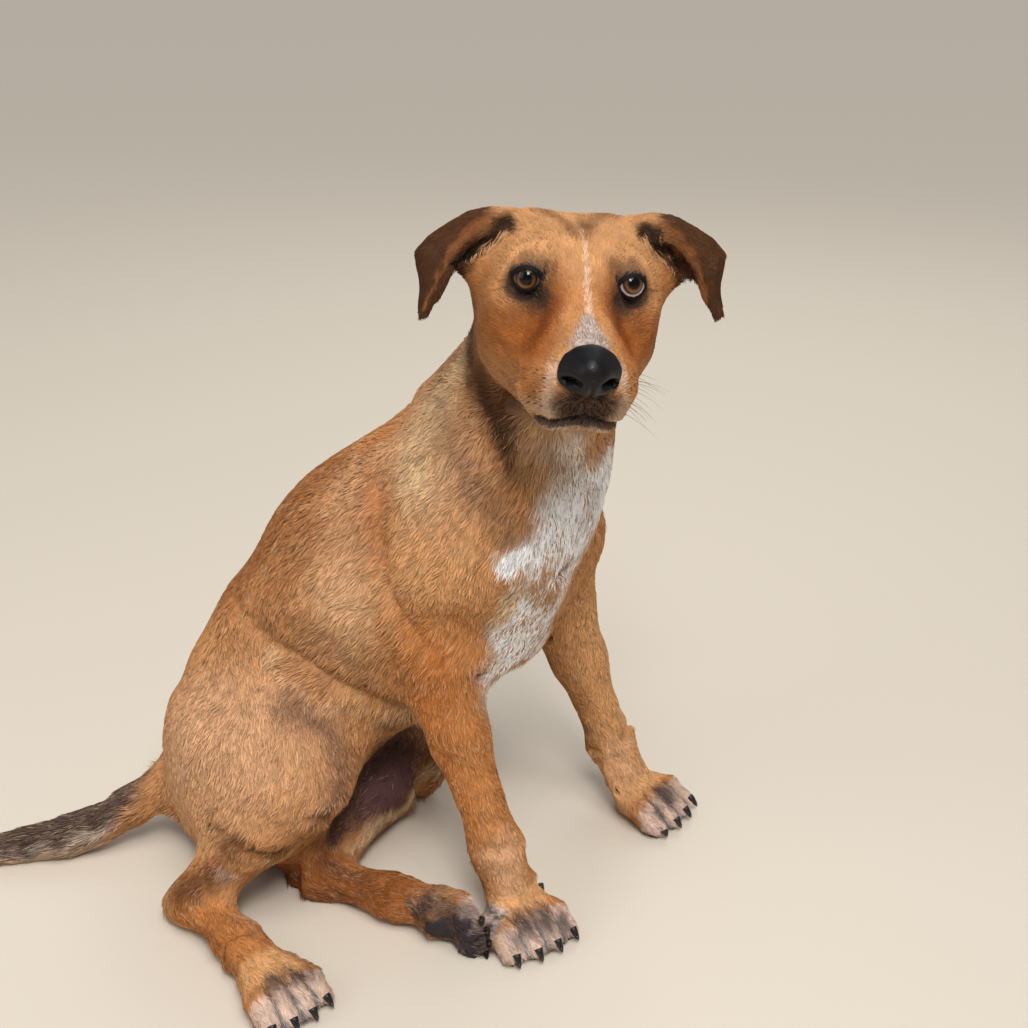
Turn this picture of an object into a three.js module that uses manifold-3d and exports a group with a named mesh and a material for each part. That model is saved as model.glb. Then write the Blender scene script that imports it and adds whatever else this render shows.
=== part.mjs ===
// A young short-coated crossbreed dog that sits on its left haunch, life size, in millimetres.
// +X is to the dog's fore end, -Y is the side it looks to, +Z is up, and the floor is z = 0.
// The body is a set of muscles: tapered rods that melt into one another. Each named part takes the
// space that lies nearer to its own muscles than to any other part's, so the parts meet along
// natural borders with a thin cut between them.
import * as THREE from "three";
import { mergeVertices } from "three/addons/utils/BufferGeometryUtils.js";
import Module from "manifold-3d";

const wasm = await Module();
wasm.setup();

// ---------------------------------------------------------------- driving dimensions
const CUT = 1.8; // width of the cut between two parts where it is curved
const FLAT_CUT = 0.8; // its width where it is flat
const SEAT_GAP = 0.4; // clearance of an eye, ear or claw in the flesh that holds it
const EYE_RADIUS = 10.2;
const EYE_SPACING = 55.6; // between the centres of the two eyes
const CLAW_LENGTH = 15;
const CLAW_RADIUS = 3.6;
const EAR_THICKNESS = 4.2;
const PRESSED = 2.2; // how far its weight flattens the flesh that rests on the floor

const point = (x, y, z) => new THREE.Vector3(x, y, z);
const UP = point(0, 0, 1);

// A local frame: forward, the dog's left and up, at an origin.
function frameAt(origin, forward, up) {
  const ahead = forward.clone().normalize();
  const left = up.clone().cross(ahead).normalize();
  const top = ahead.clone().cross(left);
  return new THREE.Matrix4().makeBasis(ahead, left, top).setPosition(origin);
}

// Where the big joints are.
const JOINT = {
  eyes: point(36, -140, 474),
  nape: point(24, -62, 428),
  withers: point(-40, 8, 318),
  ribs: point(-88, 18, 222),
  loin: point(-148, 30, 152),
  pelvis: point(-198, 28, 88),
  hipRight: point(-196, 0, 112),
  kneeRight: point(-140, -78, 120),
  hockRight: point(-222, -98, 24),
  knuckleHindRight: point(-158, -172, 16),
  hipLeft: point(-180, 78, 66),
  kneeLeft: point(-88, 56, 35),
  hockLeft: point(-140, -58, 16),
  knuckleHindLeft: point(-46, -112, 23),
  shoulderRight: point(-12, -72, 282),
  elbowRight: point(-56, -54, 198),
  wristRight: point(-13, -84, 60),
  knuckleForeRight: point(4, -104, 16),
  shoulderLeft: point(29, 14, 262),
  elbowLeft: point(32, 44, 190),
  wristLeft: point(76, 62, 58),
  knuckleForeLeft: point(103, 41, 16),
  tailRoot: point(-244, 8, 66),
};
const HEAD = frameAt(JOINT.eyes, point(0.08, -1, -0.02), point(0.075, 0, 1));

// ---------------------------------------------------------------- muscles
// A tapered rod from one point to another. `flat` narrows it along the direction `side`.
function muscle(from, fromRadius, to, toRadius, flat = 1, side = point(0, 1, 0)) {
  const run = to.clone().sub(from);
  return {
    from, run, fromRadius, toRadius, flat,
    side: side.clone().normalize(),
    runSquared: Math.max(run.lengthSq(), 1e-6),
    reach: Math.max(fromRadius, toRadius),
    to,
  };
}

function distanceTo(m, x, y, z) {
  let qx = x - m.from.x;
  let qy = y - m.from.y;
  let qz = z - m.from.z;
  const along = (qx * m.run.x + qy * m.run.y + qz * m.run.z) / m.runSquared;
  const t = Math.min(1, Math.max(0, along));
  qx -= m.run.x * t;
  qy -= m.run.y * t;
  qz -= m.run.z * t;
  if (m.flat !== 1) {
    const across = (qx * m.side.x + qy * m.side.y + qz * m.side.z) * (1 / m.flat - 1);
    qx += m.side.x * across;
    qy += m.side.y * across;
    qz += m.side.z * across;
  }
  return Math.hypot(qx, qy, qz) - m.fromRadius - (m.toRadius - m.fromRadius) * t;
}

// The smaller of two distances, with a fillet of about `blend` where they meet.
function melt(a, b, blend) {
  const h = Math.max(blend - Math.abs(a - b), 0) / blend;
  return Math.min(a, b) - (h * h * blend) / 4;
}

// Muscles given in a local frame (forward, left, up), as [from, radius, to, radius, flat, side].
function placed(frame, list) {
  const turn = new THREE.Matrix3().setFromMatrix4(frame);
  return list.map(([from, fromRadius, to, toRadius, flat, side]) =>
    muscle(
      point(...from).applyMatrix4(frame), fromRadius,
      point(...to).applyMatrix4(frame), toRadius,
      flat, point(...(side ?? [0, 1, 0])).applyMatrix3(turn),
    ));
}

// The same list with its mirror image across the frame's middle plane.
const bothSides = (list) =>
  list.concat(list.map(([from, r1, to, r2, flat, side]) =>
    [[from[0], -from[1], from[2]], r1, [to[0], -to[1], to[2]], r2, flat,
      side && [side[0], -side[1], side[2]]]));

// ---------------------------------------------------------------- head
const EYE_Y = EYE_SPACING / 2;
const skull = placed(HEAD, [
  [[-30, 0, -3], 31, [-66, 0, -7], 33],
  [[-8, 0, -6], 26, [-40, 0, -10], 38],
  [[4, 0, -18], 23, [44, 0, -28], 18],
  [[40, 0, -25], 15, [58, 0, -28], 13],
  [[32, 0, -41], 11, [59, 0, -42], 9],
  ...bothSides([
    [[-22, 20, 6], 21, [-60, 22, 0], 25],
    [[-4, 22, 8], 11, [-24, 32, 2], 15],
    [[-16, 34, -16], 17, [-52, 36, -14], 21],
    [[-30, 32, -38], 20, [-2, 24, -36], 18],
    [[20, 14, -36], 16, [52, 14, -40], 13.5],
    [[26, 16, -46], 13, [48, 15, -47], 11.5],
    [[-44, 26, -48], 18, [-14, 24, -50], 15],
    [[2, 25, -53], 12.5, [36, 22.5, -55], 12.5],
    [[-48, 25, 16], 14, [-45, 42, 14], 12],
    [[-50, 48, 8], 12, [-47, 60, 5], 8],
    [[-38, 44, -2], 12, [-40, 61, 1], 8],
  ]),
]);
const jaw = placed(HEAD, [
  [[4, 0, -62], 11, [46, 0, -62], 8.5],
  ...bothSides([[[-34, 19, -59], 14, [40, 11, -58], 9.5]]),
]);
const nose = placed(HEAD, [
  [[67, 0, -23], 10.5, [70, 0, -27], 11],
  [[70, 0, -32], 7, [66, 0, -39], 5.5],
  ...bothSides([[[65, 8, -25], 8.5, [67, 9.5, -30], 8]]),
]);
// ---------------------------------------------------------------- neck, trunk and tail
const ACROSS = point(0.5, 0.85, 0); // the dog's left, at the ribs
const neck = [
  muscle(JOINT.nape, 45, point(-4, -28, 352), 53),
  muscle(point(30, -82, 420), 36, point(20, -49, 322), 44),
  muscle(point(-4, -28, 352), 53, JOINT.withers, 52),
];
const trunk = [
  muscle(point(-30, -10, 262), 62, JOINT.ribs, 80, 0.86, ACROSS),
  muscle(JOINT.ribs, 80, JOINT.loin, 78, 0.9, ACROSS),
  muscle(JOINT.loin, 76, JOINT.pelvis, 65),
  muscle(point(14, -38, 274), 40, point(-8, -26, 218), 34),
  muscle(point(-8, -26, 214), 28, point(-72, 6, 166), 38),
  muscle(JOINT.withers, 50, point(-120, 38, 234), 54),
  muscle(JOINT.pelvis, 50, point(-212, 12, 38), 46),
];

const TAIL_PATH = new THREE.CatmullRomCurve3([
  JOINT.tailRoot, point(-284, 0, 40), point(-334, -14, 20), point(-392, -26, 13),
  point(-450, -40, 11.2), point(-506, -44, 9.6), point(-556, -34, 7.8),
]);
const TAIL_STEPS = 12;
const TAIL_ROOT_RADIUS = 19;
const TAIL_TIP_RADIUS = 8;
// The tail's radius, a share t of the way along: it tapers evenly and then rounds off.
const tailRadius = (t) => TAIL_ROOT_RADIUS + (TAIL_TIP_RADIUS - TAIL_ROOT_RADIUS) * t ** 0.8;
const tailLength = (first, last) =>
  Array.from({ length: last - first }, (_, i) => {
    const [a, b] = [(first + i) / TAIL_STEPS, (first + i + 1) / TAIL_STEPS];
    return muscle(TAIL_PATH.getPointAt(a), tailRadius(a), TAIL_PATH.getPointAt(b), tailRadius(b));
  });

// ---------------------------------------------------------------- limbs
const foreUpper = (shoulder, elbow, blade, out) => [
  muscle(blade, 32, shoulder, 33, 0.8, out),
  muscle(shoulder, 33, elbow, 24.5),
  muscle(blade.clone().lerp(elbow, 0.45), 34, elbow, 24, 0.8, out),
];
const foreLower = (elbow, wrist) => [
  muscle(elbow, 24.5, elbow.clone().lerp(wrist, 0.4), 20),
  muscle(elbow.clone().lerp(wrist, 0.4), 20, wrist, 16.5),
];

// A paw. Its frame is at the knuckles: forward along the toes, the dog's left, and up.
// Toes are numbered across the paw, and the middle pair reach furthest.
const TOES = [-1.5, -0.5, 0.5, 1.5];
// A fore paw also has a dewclaw on its inner side and a small pad behind the wrist.
const DEW_TOE = [[-26, 13, 24], 7.5, [-14, 20, 13], 6];
const WRIST_PAD = [[-44, 0, 26], 7, [-46, 0, 22], 6];
function pawMuscles({ frame, wrist, inner, size: { length, radius, spacing, thick } }) {
  const toes = TOES.flatMap((across) => {
    const reach = length * (1.12 - 0.13 * Math.abs(across));
    const y = across * spacing;
    return [
      [[-8, y * 0.75, 2], radius * 1.02, [reach * 0.42, y, 1.5], radius],
      [[reach * 0.42, y, 1.5], radius, [reach, y * 1.12, -7], radius * 0.86],
      [[reach * 0.62, y * 1.05, -9], radius * 0.72, [reach * 0.9, y * 1.1, -10], radius * 0.66],
    ];
  });
  const pads = [[[-6, -8, -9], 9.5, [-6, 8, -9], 9.5], [[-14, 0, -3], 12, [0, 0, 0], 13]];
  const palm = placed(frame, toes.concat(pads));
  const knuckle = (y) => point(-6, y, 2).applyMatrix4(frame);
  for (const y of [-9, 0, 9]) palm.push(muscle(wrist, thick, knuckle(y), radius * 1.15));
  if (inner) {
    const [[x1, y1, z1], r1, [x2, y2, z2], r2] = DEW_TOE;
    palm.push(...placed(frame, [[[x1, y1 * inner, z1], r1, [x2, y2 * inner, z2], r2], WRIST_PAD]));
  }
  return palm;
}

// Where each claw leaves its toe, and the way it points.
function clawSeats({ frame, inner, size: { length, radius, spacing } }) {
  const seats = TOES.map((across) => {
    const reach = length * (1.12 - 0.13 * Math.abs(across));
    const tilt = point(0.9, across * 0.07, -0.5);
    return frameAt(point(reach + radius * 0.62, across * spacing * 1.14, -5), tilt, UP);
  });
  if (inner) seats.push(frameAt(point(-10, 23 * inner, 9), point(0.6, 0.35 * inner, -0.7), UP));
  return seats.map((seat) => frame.clone().multiply(seat));
}

const FORE_PAW = { length: 27, radius: 9.2, spacing: 14.2, thick: 16.5 };
const HIND_PAW = { length: 27, radius: 8.8, spacing: 12.6, thick: 13.5 };
const LOOSE_HIND_PAW = { ...HIND_PAW, spacing: 9.8 };
const PAWS = {
  fore_right: {
    size: FORE_PAW, inner: 1, wrist: JOINT.wristRight,
    frame: frameAt(JOINT.knuckleForeRight, point(0.57, -0.82, 0), UP),
  },
  fore_left: {
    size: FORE_PAW, inner: -1, wrist: JOINT.wristLeft,
    frame: frameAt(JOINT.knuckleForeLeft, point(0.82, -0.57, 0), UP),
  },
  hind_right: {
    size: HIND_PAW, wrist: JOINT.knuckleHindRight.clone().lerp(JOINT.hockRight, 0.45),
    frame: frameAt(JOINT.knuckleHindRight, point(0.66, -0.75, 0), UP),
  },
  hind_left: {
    size: LOOSE_HIND_PAW, wrist: JOINT.knuckleHindLeft.clone().lerp(JOINT.hockLeft, 0.45),
    frame: frameAt(JOINT.knuckleHindLeft, point(0.86, -0.5, -0.02), point(0.5, 0.8, 0.2)),
  },
};
const paw = (name) => pawMuscles(PAWS[name]);

const thighRight = [
  muscle(JOINT.hipRight, 58, point(-176, -36, 112), 60),
  muscle(point(-176, -36, 112), 56, JOINT.kneeRight, 34),
  muscle(point(-206, -10, 62), 48, point(-186, -42, 66), 44),
];
const shankRight = [
  muscle(JOINT.kneeRight.clone().add(point(-4, -2, -16)), 27, point(-176, -88, 76), 24),
  muscle(point(-176, -88, 76), 22, JOINT.hockRight, 15),
  muscle(point(-196, -80, 66), 15, point(-234, -92, 20), 9),
];
const thighLeft = [
  muscle(JOINT.hipLeft, 54, point(-120, 78, 44), 46),
  muscle(point(-120, 78, 44), 44, JOINT.kneeLeft, 33),
];
const shankLeft = [
  muscle(JOINT.kneeLeft, 29, point(-114, 10, 34), 24),
  muscle(point(-114, 10, 34), 22, JOINT.hockLeft, 16.5),
  muscle(point(-128, -2, 26), 15, point(-160, -52, 14), 11),
];
const hindPastern = (hock, heel, knuckle) => [
  muscle(heel, 12, hock, 15),
  muscle(hock, 15.5, hock.clone().lerp(knuckle, 0.6), 13.5),
];

const BLADE_RIGHT = point(-62, -34, 300);
const BLADE_LEFT = point(-2, 40, 300);
const OUT = point(0.5, 0.8, 0.2);

// ---------------------------------------------------------------- parts
// limb: the muscle group that the part melts into; blend: how softly its own muscles melt together;
// cell: the size of its facets.
const PARTS = {
  head: { limb: "head", muscles: skull, blend: 12, cell: 12.6 },
  jaw: { limb: "head", muscles: jaw, blend: 8, cell: 10 },
  nose: { limb: "nose", muscles: nose, blend: 4, cell: 5.6 },
  neck: { limb: "trunk", muscles: neck, blend: 26, cell: 29 },
  trunk: { limb: "trunk", muscles: trunk, blend: 34, cell: 31 },
  tail_root: { limb: "tail", muscles: tailLength(0, 4), blend: 6, cell: 15 },
  tail_middle: { limb: "tail", muscles: tailLength(4, 8), blend: 6, cell: 14.5 },
  tail_tip: { limb: "tail", muscles: tailLength(8, TAIL_STEPS), blend: 6, cell: 12 },
  upper_foreleg_right: {
    limb: "foreRight", blend: 24, cell: 22,
    muscles: foreUpper(JOINT.shoulderRight, JOINT.elbowRight, BLADE_RIGHT, OUT),
  },
  upper_foreleg_left: {
    limb: "foreLeft", blend: 24, cell: 22,
    muscles: foreUpper(JOINT.shoulderLeft, JOINT.elbowLeft, BLADE_LEFT, OUT),
  },
  forearm_right: {
    limb: "foreRight", muscles: foreLower(JOINT.elbowRight, JOINT.wristRight), blend: 16, cell: 15,
  },
  forearm_left: {
    limb: "foreLeft", muscles: foreLower(JOINT.elbowLeft, JOINT.wristLeft), blend: 16, cell: 15,
  },
  fore_paw_right: { limb: "foreRight", muscles: paw("fore_right"), blend: 5, cell: 10 },
  fore_paw_left: { limb: "foreLeft", muscles: paw("fore_left"), blend: 5, cell: 10 },
  thigh_right: { limb: "hindRight", muscles: thighRight, blend: 30, cell: 27 },
  thigh_left: { limb: "hindLeft", muscles: thighLeft, blend: 30, cell: 25 },
  shank_right: { limb: "hindRight", muscles: shankRight, blend: 14, cell: 14.5 },
  shank_left: { limb: "hindLeft", muscles: shankLeft, blend: 14, cell: 14.5 },
  pastern_right: {
    limb: "hindRight", blend: 10, cell: 11,
    muscles: hindPastern(JOINT.hockRight, point(-237, -91, 14), JOINT.knuckleHindRight),
  },
  pastern_left: {
    limb: "hindLeft", blend: 10, cell: 11,
    muscles: hindPastern(JOINT.hockLeft, point(-162, -54, 13), JOINT.knuckleHindLeft),
  },
  hind_paw_right: { limb: "hindRight", muscles: paw("hind_right"), blend: 5, cell: 10 },
  hind_paw_left: { limb: "hindLeft", muscles: paw("hind_left"), blend: 5, cell: 10 },
};
// Where a limb or the tail runs straight on from one part to the next, the cut is flat:
// [nearer part, farther part, point on the cut, the way the limb runs there].
const tailCut = (step) => [TAIL_PATH.getPointAt(step / TAIL_STEPS), TAIL_PATH.getTangentAt(step / TAIL_STEPS)];
const runs = (from, to) => to.clone().sub(from).normalize();
const FLAT_CUTS = [
  ["trunk", "neck", point(-22, -12, 316), runs(JOINT.ribs, JOINT.nape)],
  ["tail_root", "tail_middle", ...tailCut(4)],
  ["tail_middle", "tail_tip", ...tailCut(8)],
  ["forearm_right", "fore_paw_right", JOINT.wristRight, runs(JOINT.elbowRight, JOINT.wristRight)],
  ["forearm_left", "fore_paw_left", JOINT.wristLeft, runs(JOINT.elbowLeft, JOINT.wristLeft)],
  ["shank_right", "pastern_right", JOINT.hockRight, runs(JOINT.kneeRight, JOINT.knuckleHindRight)],
  ["shank_left", "pastern_left", JOINT.hockLeft, runs(JOINT.kneeLeft, JOINT.knuckleHindLeft)],
  ["pastern_right", "hind_paw_right", PAWS.hind_right.wrist, runs(JOINT.hockRight, JOINT.knuckleHindRight)],
  ["pastern_left", "hind_paw_left", PAWS.hind_left.wrist, runs(JOINT.hockLeft, JOINT.knuckleHindLeft)],
];
const LIMB_BLEND = { head: 30, nose: 2.5, tail: 16, foreRight: 30, foreLeft: 30, hindRight: 26, hindLeft: 22 };
const INSIDE_LIMB_BLEND = 14;
const NAMES = Object.keys(PARTS);
const INDEX = Object.fromEntries(NAMES.map((name, i) => [name, i]));

const partDistance = (part, x, y, z) =>
  part.muscles.reduce((d, m) => melt(d, distanceTo(m, x, y, z), part.blend), 1e3);
const allDistances = (x, y, z) => NAMES.map((name) => partDistance(PARTS[name], x, y, z));

// The outer surface of the whole dog, from the distances to its parts.
function outside(distances) {
  const limbs = {};
  NAMES.forEach((name, i) => {
    const { limb } = PARTS[name];
    limbs[limb] = melt(limbs[limb] ?? 1e3, distances[i], INSIDE_LIMB_BLEND);
  });
  const { trunk: middle, head, nose: tip, ...others } = limbs;
  const face = melt(head, tip, LIMB_BLEND.nose);
  const joined = Object.entries({ ...others, head: face })
    .map(([limb, d]) => melt(middle, d, LIMB_BLEND[limb]));
  return Math.min(...joined);
}

// ---------------------------------------------------------------- from a field to a closed mesh
// The field is negative inside. Each limit is a smooth field of its own, and the solid is where all
// of them are negative: corners on two limits at once are pulled onto both, so that edges stay sharp.
function solidGeometry(limits, low, high, cell) {
  const count = high.clone().sub(low).divideScalar(cell).ceil().addScalar(1);
  const [nx, ny, nz] = [count.x, count.y, count.z];
  const at = (i, j, k) => (k * ny + j) * nx + i;
  const value = new Float64Array(nx * ny * nz);
  const field = (x, y, z) => Math.max(...limits(x, y, z));
  for (let k = 0; k < nz; k++)
    for (let j = 0; j < ny; j++)
      for (let i = 0; i < nx; i++) {
        const rim = i === 0 || j === 0 || k === 0 || i === nx - 1 || j === ny - 1 || k === nz - 1;
        const d = field(low.x + i * cell, low.y + j * cell, low.z + k * cell);
        value[at(i, j, k)] = rim ? Math.max(d, 0.01 * cell) : d;
      }
  const corners = [];
  const cornerOf = new Map();
  const edges = [];
  for (let c = 0; c < 8; c++)
    for (let axis = 0; axis < 3; axis++)
      if (!(c & (1 << axis))) edges.push([c, c | (1 << axis)]);
  const bit = (c, axis) => (c >> axis) & 1;
  for (let k = 0; k < nz - 1; k++)
    for (let j = 0; j < ny - 1; j++)
      for (let i = 0; i < nx - 1; i++) {
        const v = [...Array(8).keys()].map((c) => value[at(i + bit(c, 0), j + bit(c, 1), k + bit(c, 2))]);
        if (v.every((d) => d < 0) || v.every((d) => d >= 0)) continue;
        const sum = point(0, 0, 0);
        let crossings = 0;
        for (const [a, b] of edges) {
          if (v[a] < 0 === v[b] < 0) continue;
          const t = v[a] / (v[a] - v[b]);
          sum.add(point(
            bit(a, 0) + (bit(b, 0) - bit(a, 0)) * t,
            bit(a, 1) + (bit(b, 1) - bit(a, 1)) * t,
            bit(a, 2) + (bit(b, 2) - bit(a, 2)) * t,
          ));
          crossings += 1;
        }
        sum.divideScalar(crossings).add(point(i, j, k)).multiplyScalar(cell).add(low);
        cornerOf.set(at(i, j, k), corners.length);
        corners.push(settle(sum, limits, cell));
      }
  const index = [];
  const quad = (a, b, c, d, flip) => {
    const [p, q, r, s] = flip ? [a, d, c, b] : [a, b, c, d];
    const short = corners[p].distanceTo(corners[r]) < corners[q].distanceTo(corners[s]);
    index.push(...(short ? [p, q, r, p, r, s] : [q, r, s, q, s, p]));
  };
  const step = [[1, 0, 0], [0, 1, 0], [0, 0, 1]];
  for (let k = 1; k < nz - 1; k++)
    for (let j = 1; j < ny - 1; j++)
      for (let i = 1; i < nx - 1; i++)
        for (let axis = 0; axis < 3; axis++) {
          const [di, dj, dk] = step[axis];
          const here = value[at(i, j, k)] < 0;
          if (here === value[at(i + di, j + dj, k + dk)] < 0) continue;
          const u = step[(axis + 1) % 3];
          const w = step[(axis + 2) % 3];
          const cellAt = (m, n) =>
            cornerOf.get(at(i - m * u[0] - n * w[0], j - m * u[1] - n * w[1], k - m * u[2] - n * w[2]));
          quad(cellAt(0, 0), cellAt(1, 0), cellAt(1, 1), cellAt(0, 1), !here);
        }
  return new THREE.BufferGeometry()
    .setAttribute("position", new THREE.Float32BufferAttribute(corners.flatMap((p) => p.toArray()), 3))
    .setIndex(index);
}

// Moves a corner onto each limit that it is near or beyond, and at the end onto the foremost alone,
// because two limits that run side by side have no edge to share.
const SETTLE_ROUNDS = 6;
const LAST_ROUNDS = 3;
const SETTLE_NEAR = 0.5;
const SLOPE_STEP = 0.4;
function settle(p, limits, cell) {
  for (let round = 0; round < SETTLE_ROUNDS + LAST_ROUNDS; round++) {
    const here = limits(p.x, p.y, p.z);
    const dx = limits(p.x + SLOPE_STEP, p.y, p.z);
    const dy = limits(p.x, p.y + SLOPE_STEP, p.z);
    const dz = limits(p.x, p.y, p.z + SLOPE_STEP);
    const foremost = here.indexOf(Math.max(...here));
    const reach = round < SETTLE_ROUNDS ? SETTLE_NEAR * cell : 0;
    here.forEach((d, n) => {
      if (n !== foremost && (d < -reach || !reach)) return;
      const slope = point(dx[n] - d, dy[n] - d, dz[n] - d).divideScalar(SLOPE_STEP);
      const steep = Math.max(slope.lengthSq(), 0.05);
      p.add(slope.multiplyScalar(-d / steep).clampLength(0, cell * 0.6));
    });
  }
  return p;
}

const WELD = 1e-3;

function toManifold(geometry) {
  const merged = mergeVertices(geometry, WELD);
  return new wasm.Manifold(new wasm.Mesh({
    numProp: 3,
    vertProperties: new Float32Array(merged.attributes.position.array),
    triVerts: new Uint32Array(merged.index.array),
  }));
}

function toGeometry(manifold) {
  const mesh = manifold.getMesh();
  const positions = new Float32Array(mesh.numVert * 3);
  for (let i = 0; i < mesh.numVert; i++)
    positions.set(mesh.vertProperties.subarray(i * mesh.numProp, i * mesh.numProp + 3), i * 3);
  return new THREE.BufferGeometry()
    .setAttribute("position", new THREE.Float32BufferAttribute(positions, 3))
    .setIndex(new THREE.BufferAttribute(new Uint32Array(mesh.triVerts), 1));
}

const largest = (manifold) =>
  manifold.decompose().sort((a, b) => b.volume() - a.volume())[0];

// ---------------------------------------------------------------- flesh

function partLimits(name) {
  const mine = INDEX[name];
  const flat = FLAT_CUTS.filter(([near, far]) => near === name || far === name)
    .map(([near, far, at, along]) => ({
      other: INDEX[near === name ? far : near],
      out: along.clone().multiplyScalar(near === name ? 1 : -1),
      at,
    }));
  const curved = NAMES.map((_, i) => i).filter((i) => i !== mine && !flat.some((f) => f.other === i));
  return (x, y, z) => {
    const distances = allDistances(x, y, z);
    const other = Math.min(...curved.map((i) => distances[i]));
    const limits = [outside(distances), (distances[mine] - other + CUT) / 2, -z];
    for (const { at, out } of flat)
      limits.push((x - at.x) * out.x + (y - at.y) * out.y + (z - at.z) * out.z + FLAT_CUT / 2);
    return limits;
  };
}

function partBox(part) {
  const box = new THREE.Box3();
  for (const m of part.muscles)
    for (const end of [m.from, m.to])
      box.expandByPoint(end.clone().addScalar(m.reach)).expandByPoint(end.clone().subScalar(m.reach));
  return box.expandByScalar(part.cell + 4);
}

// Facets are laid on a grid. Where a grid catches two surfaces in one cell, another offset is tried.
const GRID_TRIES = 60;
const GRID_STRIDE = point(0.819, 0.671, 0.549);

function everyEdgeIsPaired(geometry) {
  const uses = new Map();
  const index = mergeVertices(geometry, WELD).index.array;
  for (let n = 0; n < index.length; n++) {
    const a = index[n];
    const b = index[n - (n % 3) + ((n + 1) % 3)];
    const edge = Math.min(a, b) + "," + Math.max(a, b);
    uses.set(edge, (uses.get(edge) ?? 0) + 1);
  }
  return [...uses.values()].every((count) => count === 2);
}

function fleshSolid(name) {
  const part = PARTS[name];
  const box = partBox(part);
  const limits = partLimits(name);
  for (let n = 0; n < GRID_TRIES; n++) {
    const [dx, dy, dz] = GRID_STRIDE.toArray().map((stride) => ((stride * n) % 1) * part.cell);
    const low = box.min.clone().sub(point(dx, dy, dz));
    const geometry = solidGeometry(limits, low, box.max, part.cell);
    if (everyEdgeIsPaired(geometry)) return largest(toManifold(geometry));
  }
  throw new Error(name + " has no closed surface on any grid");
}

const solids = Object.fromEntries(NAMES.map((name) => [name, fleshSolid(name)]));

// A copy of a solid, with each corner moved out along the mean of its facets' normals.
function swollen(solid, by) {
  const geometry = toGeometry(solid);
  geometry.computeVertexNormals();
  const { position, normal } = geometry.attributes;
  for (let i = 0; i < position.array.length; i++) position.array[i] += normal.array[i] * by;
  geometry.deleteAttribute("normal");
  return toManifold(geometry);
}

const clearOf = (solid, other) => solid.subtract(swollen(other, SEAT_GAP)).subtract(other);

// Facets stray a little from the curved cuts, so where two parts still touch, the coarser one gives
// way to the finer.
const byFineness = [...NAMES].sort((a, b) => PARTS[b].cell - PARTS[a].cell);
byFineness.forEach((coarse, i) => {
  for (const fine of byFineness.slice(i + 1))
    if (solids[coarse].intersect(solids[fine]).volume() > 0)
      solids[coarse] = largest(clearOf(solids[coarse], solids[fine]));
});

// ---------------------------------------------------------------- eyes and nostrils
// A closed solid of one of three.js's own shapes, set in a frame.
function plainSolid(geometry, frame) {
  geometry.deleteAttribute("normal");
  geometry.deleteAttribute("uv");
  return toManifold(geometry.applyMatrix4(frame));
}

const SIDES = { right: -1, left: 1 };
const EYE_DEEP = -6; // the middle of each eye, along the head's axis
const EYE_HIGH = { right: 2.2, left: 1 }; // and up from it
const LID_OPENING = { inner: 7.5, outer: 12, depth: 14, start: 3.5 };
const NOSTRIL = { radius: 3.2, depth: 7 };

for (const [side, sign] of Object.entries(SIDES)) {
  const gaze = frameAt(point(EYE_DEEP, sign * EYE_Y, EYE_HIGH[side]), point(1, sign * 0.24, 0.1), UP);
  const seat = HEAD.clone().multiply(gaze);
  const ball = (radius) => plainSolid(new THREE.SphereGeometry(radius, 12, 8), seat);
  const { inner, outer, depth, start } = LID_OPENING;
  const opening = new THREE.CylinderGeometry(outer, inner, depth, 9);
  opening.rotateZ(-Math.PI / 2).translate(start + depth / 2, 0, 0);
  solids["eye_" + side] = ball(EYE_RADIUS);
  solids.head = largest(solids.head.subtract(ball(EYE_RADIUS + SEAT_GAP)).subtract(plainSolid(opening, seat)));

  const nostril = frameAt(point(78, sign * 8, -29), point(-1, sign * 0.35, 0.1), UP);
  const pit = new THREE.ConeGeometry(NOSTRIL.radius, NOSTRIL.depth, 6).rotateZ(-Math.PI / 2);
  solids.nose = largest(solids.nose.subtract(plainSolid(pit, HEAD.clone().multiply(nostril))));
}

// ---------------------------------------------------------------- ears
// An ear is a leaf between three lines that meet at its tip: the hind edge, the crease where the
// leaf turns over, and the fore edge of the flap that hangs in front.
const EAR_LINES = {
  hind: [[-78, 36, 2], [-80, 56, 4], [-74, 72, 2], [-64, 82, -6], [-54, 84, -17], [-43, 87, -23], [-35, 89, -27]],
  crease: [[-44, 29, 30], [-46, 53, 31], [-46, 73, 21], [-44, 89, 8], [-38, 85, -7], [-36, 86, -17], [-33, 88, -29]],
  fore: [[-29, 40, 24], [-26, 53, 18], [-26, 61, 10], [-28, 68, -1], [-30, 73, -13], [-32, 79, -21], [-33, 84, -30]],
};
const EAR_LIFT = { right: -0.08, left: 0.08 }; // how far each ear is raised, per millimetre out
const EAR_SWAY = { right: -0.05, left: 0.05 }; // how far its flap swings out, per millimetre down
const EAR_STEPS = { along: 10, across: 4 };

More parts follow.
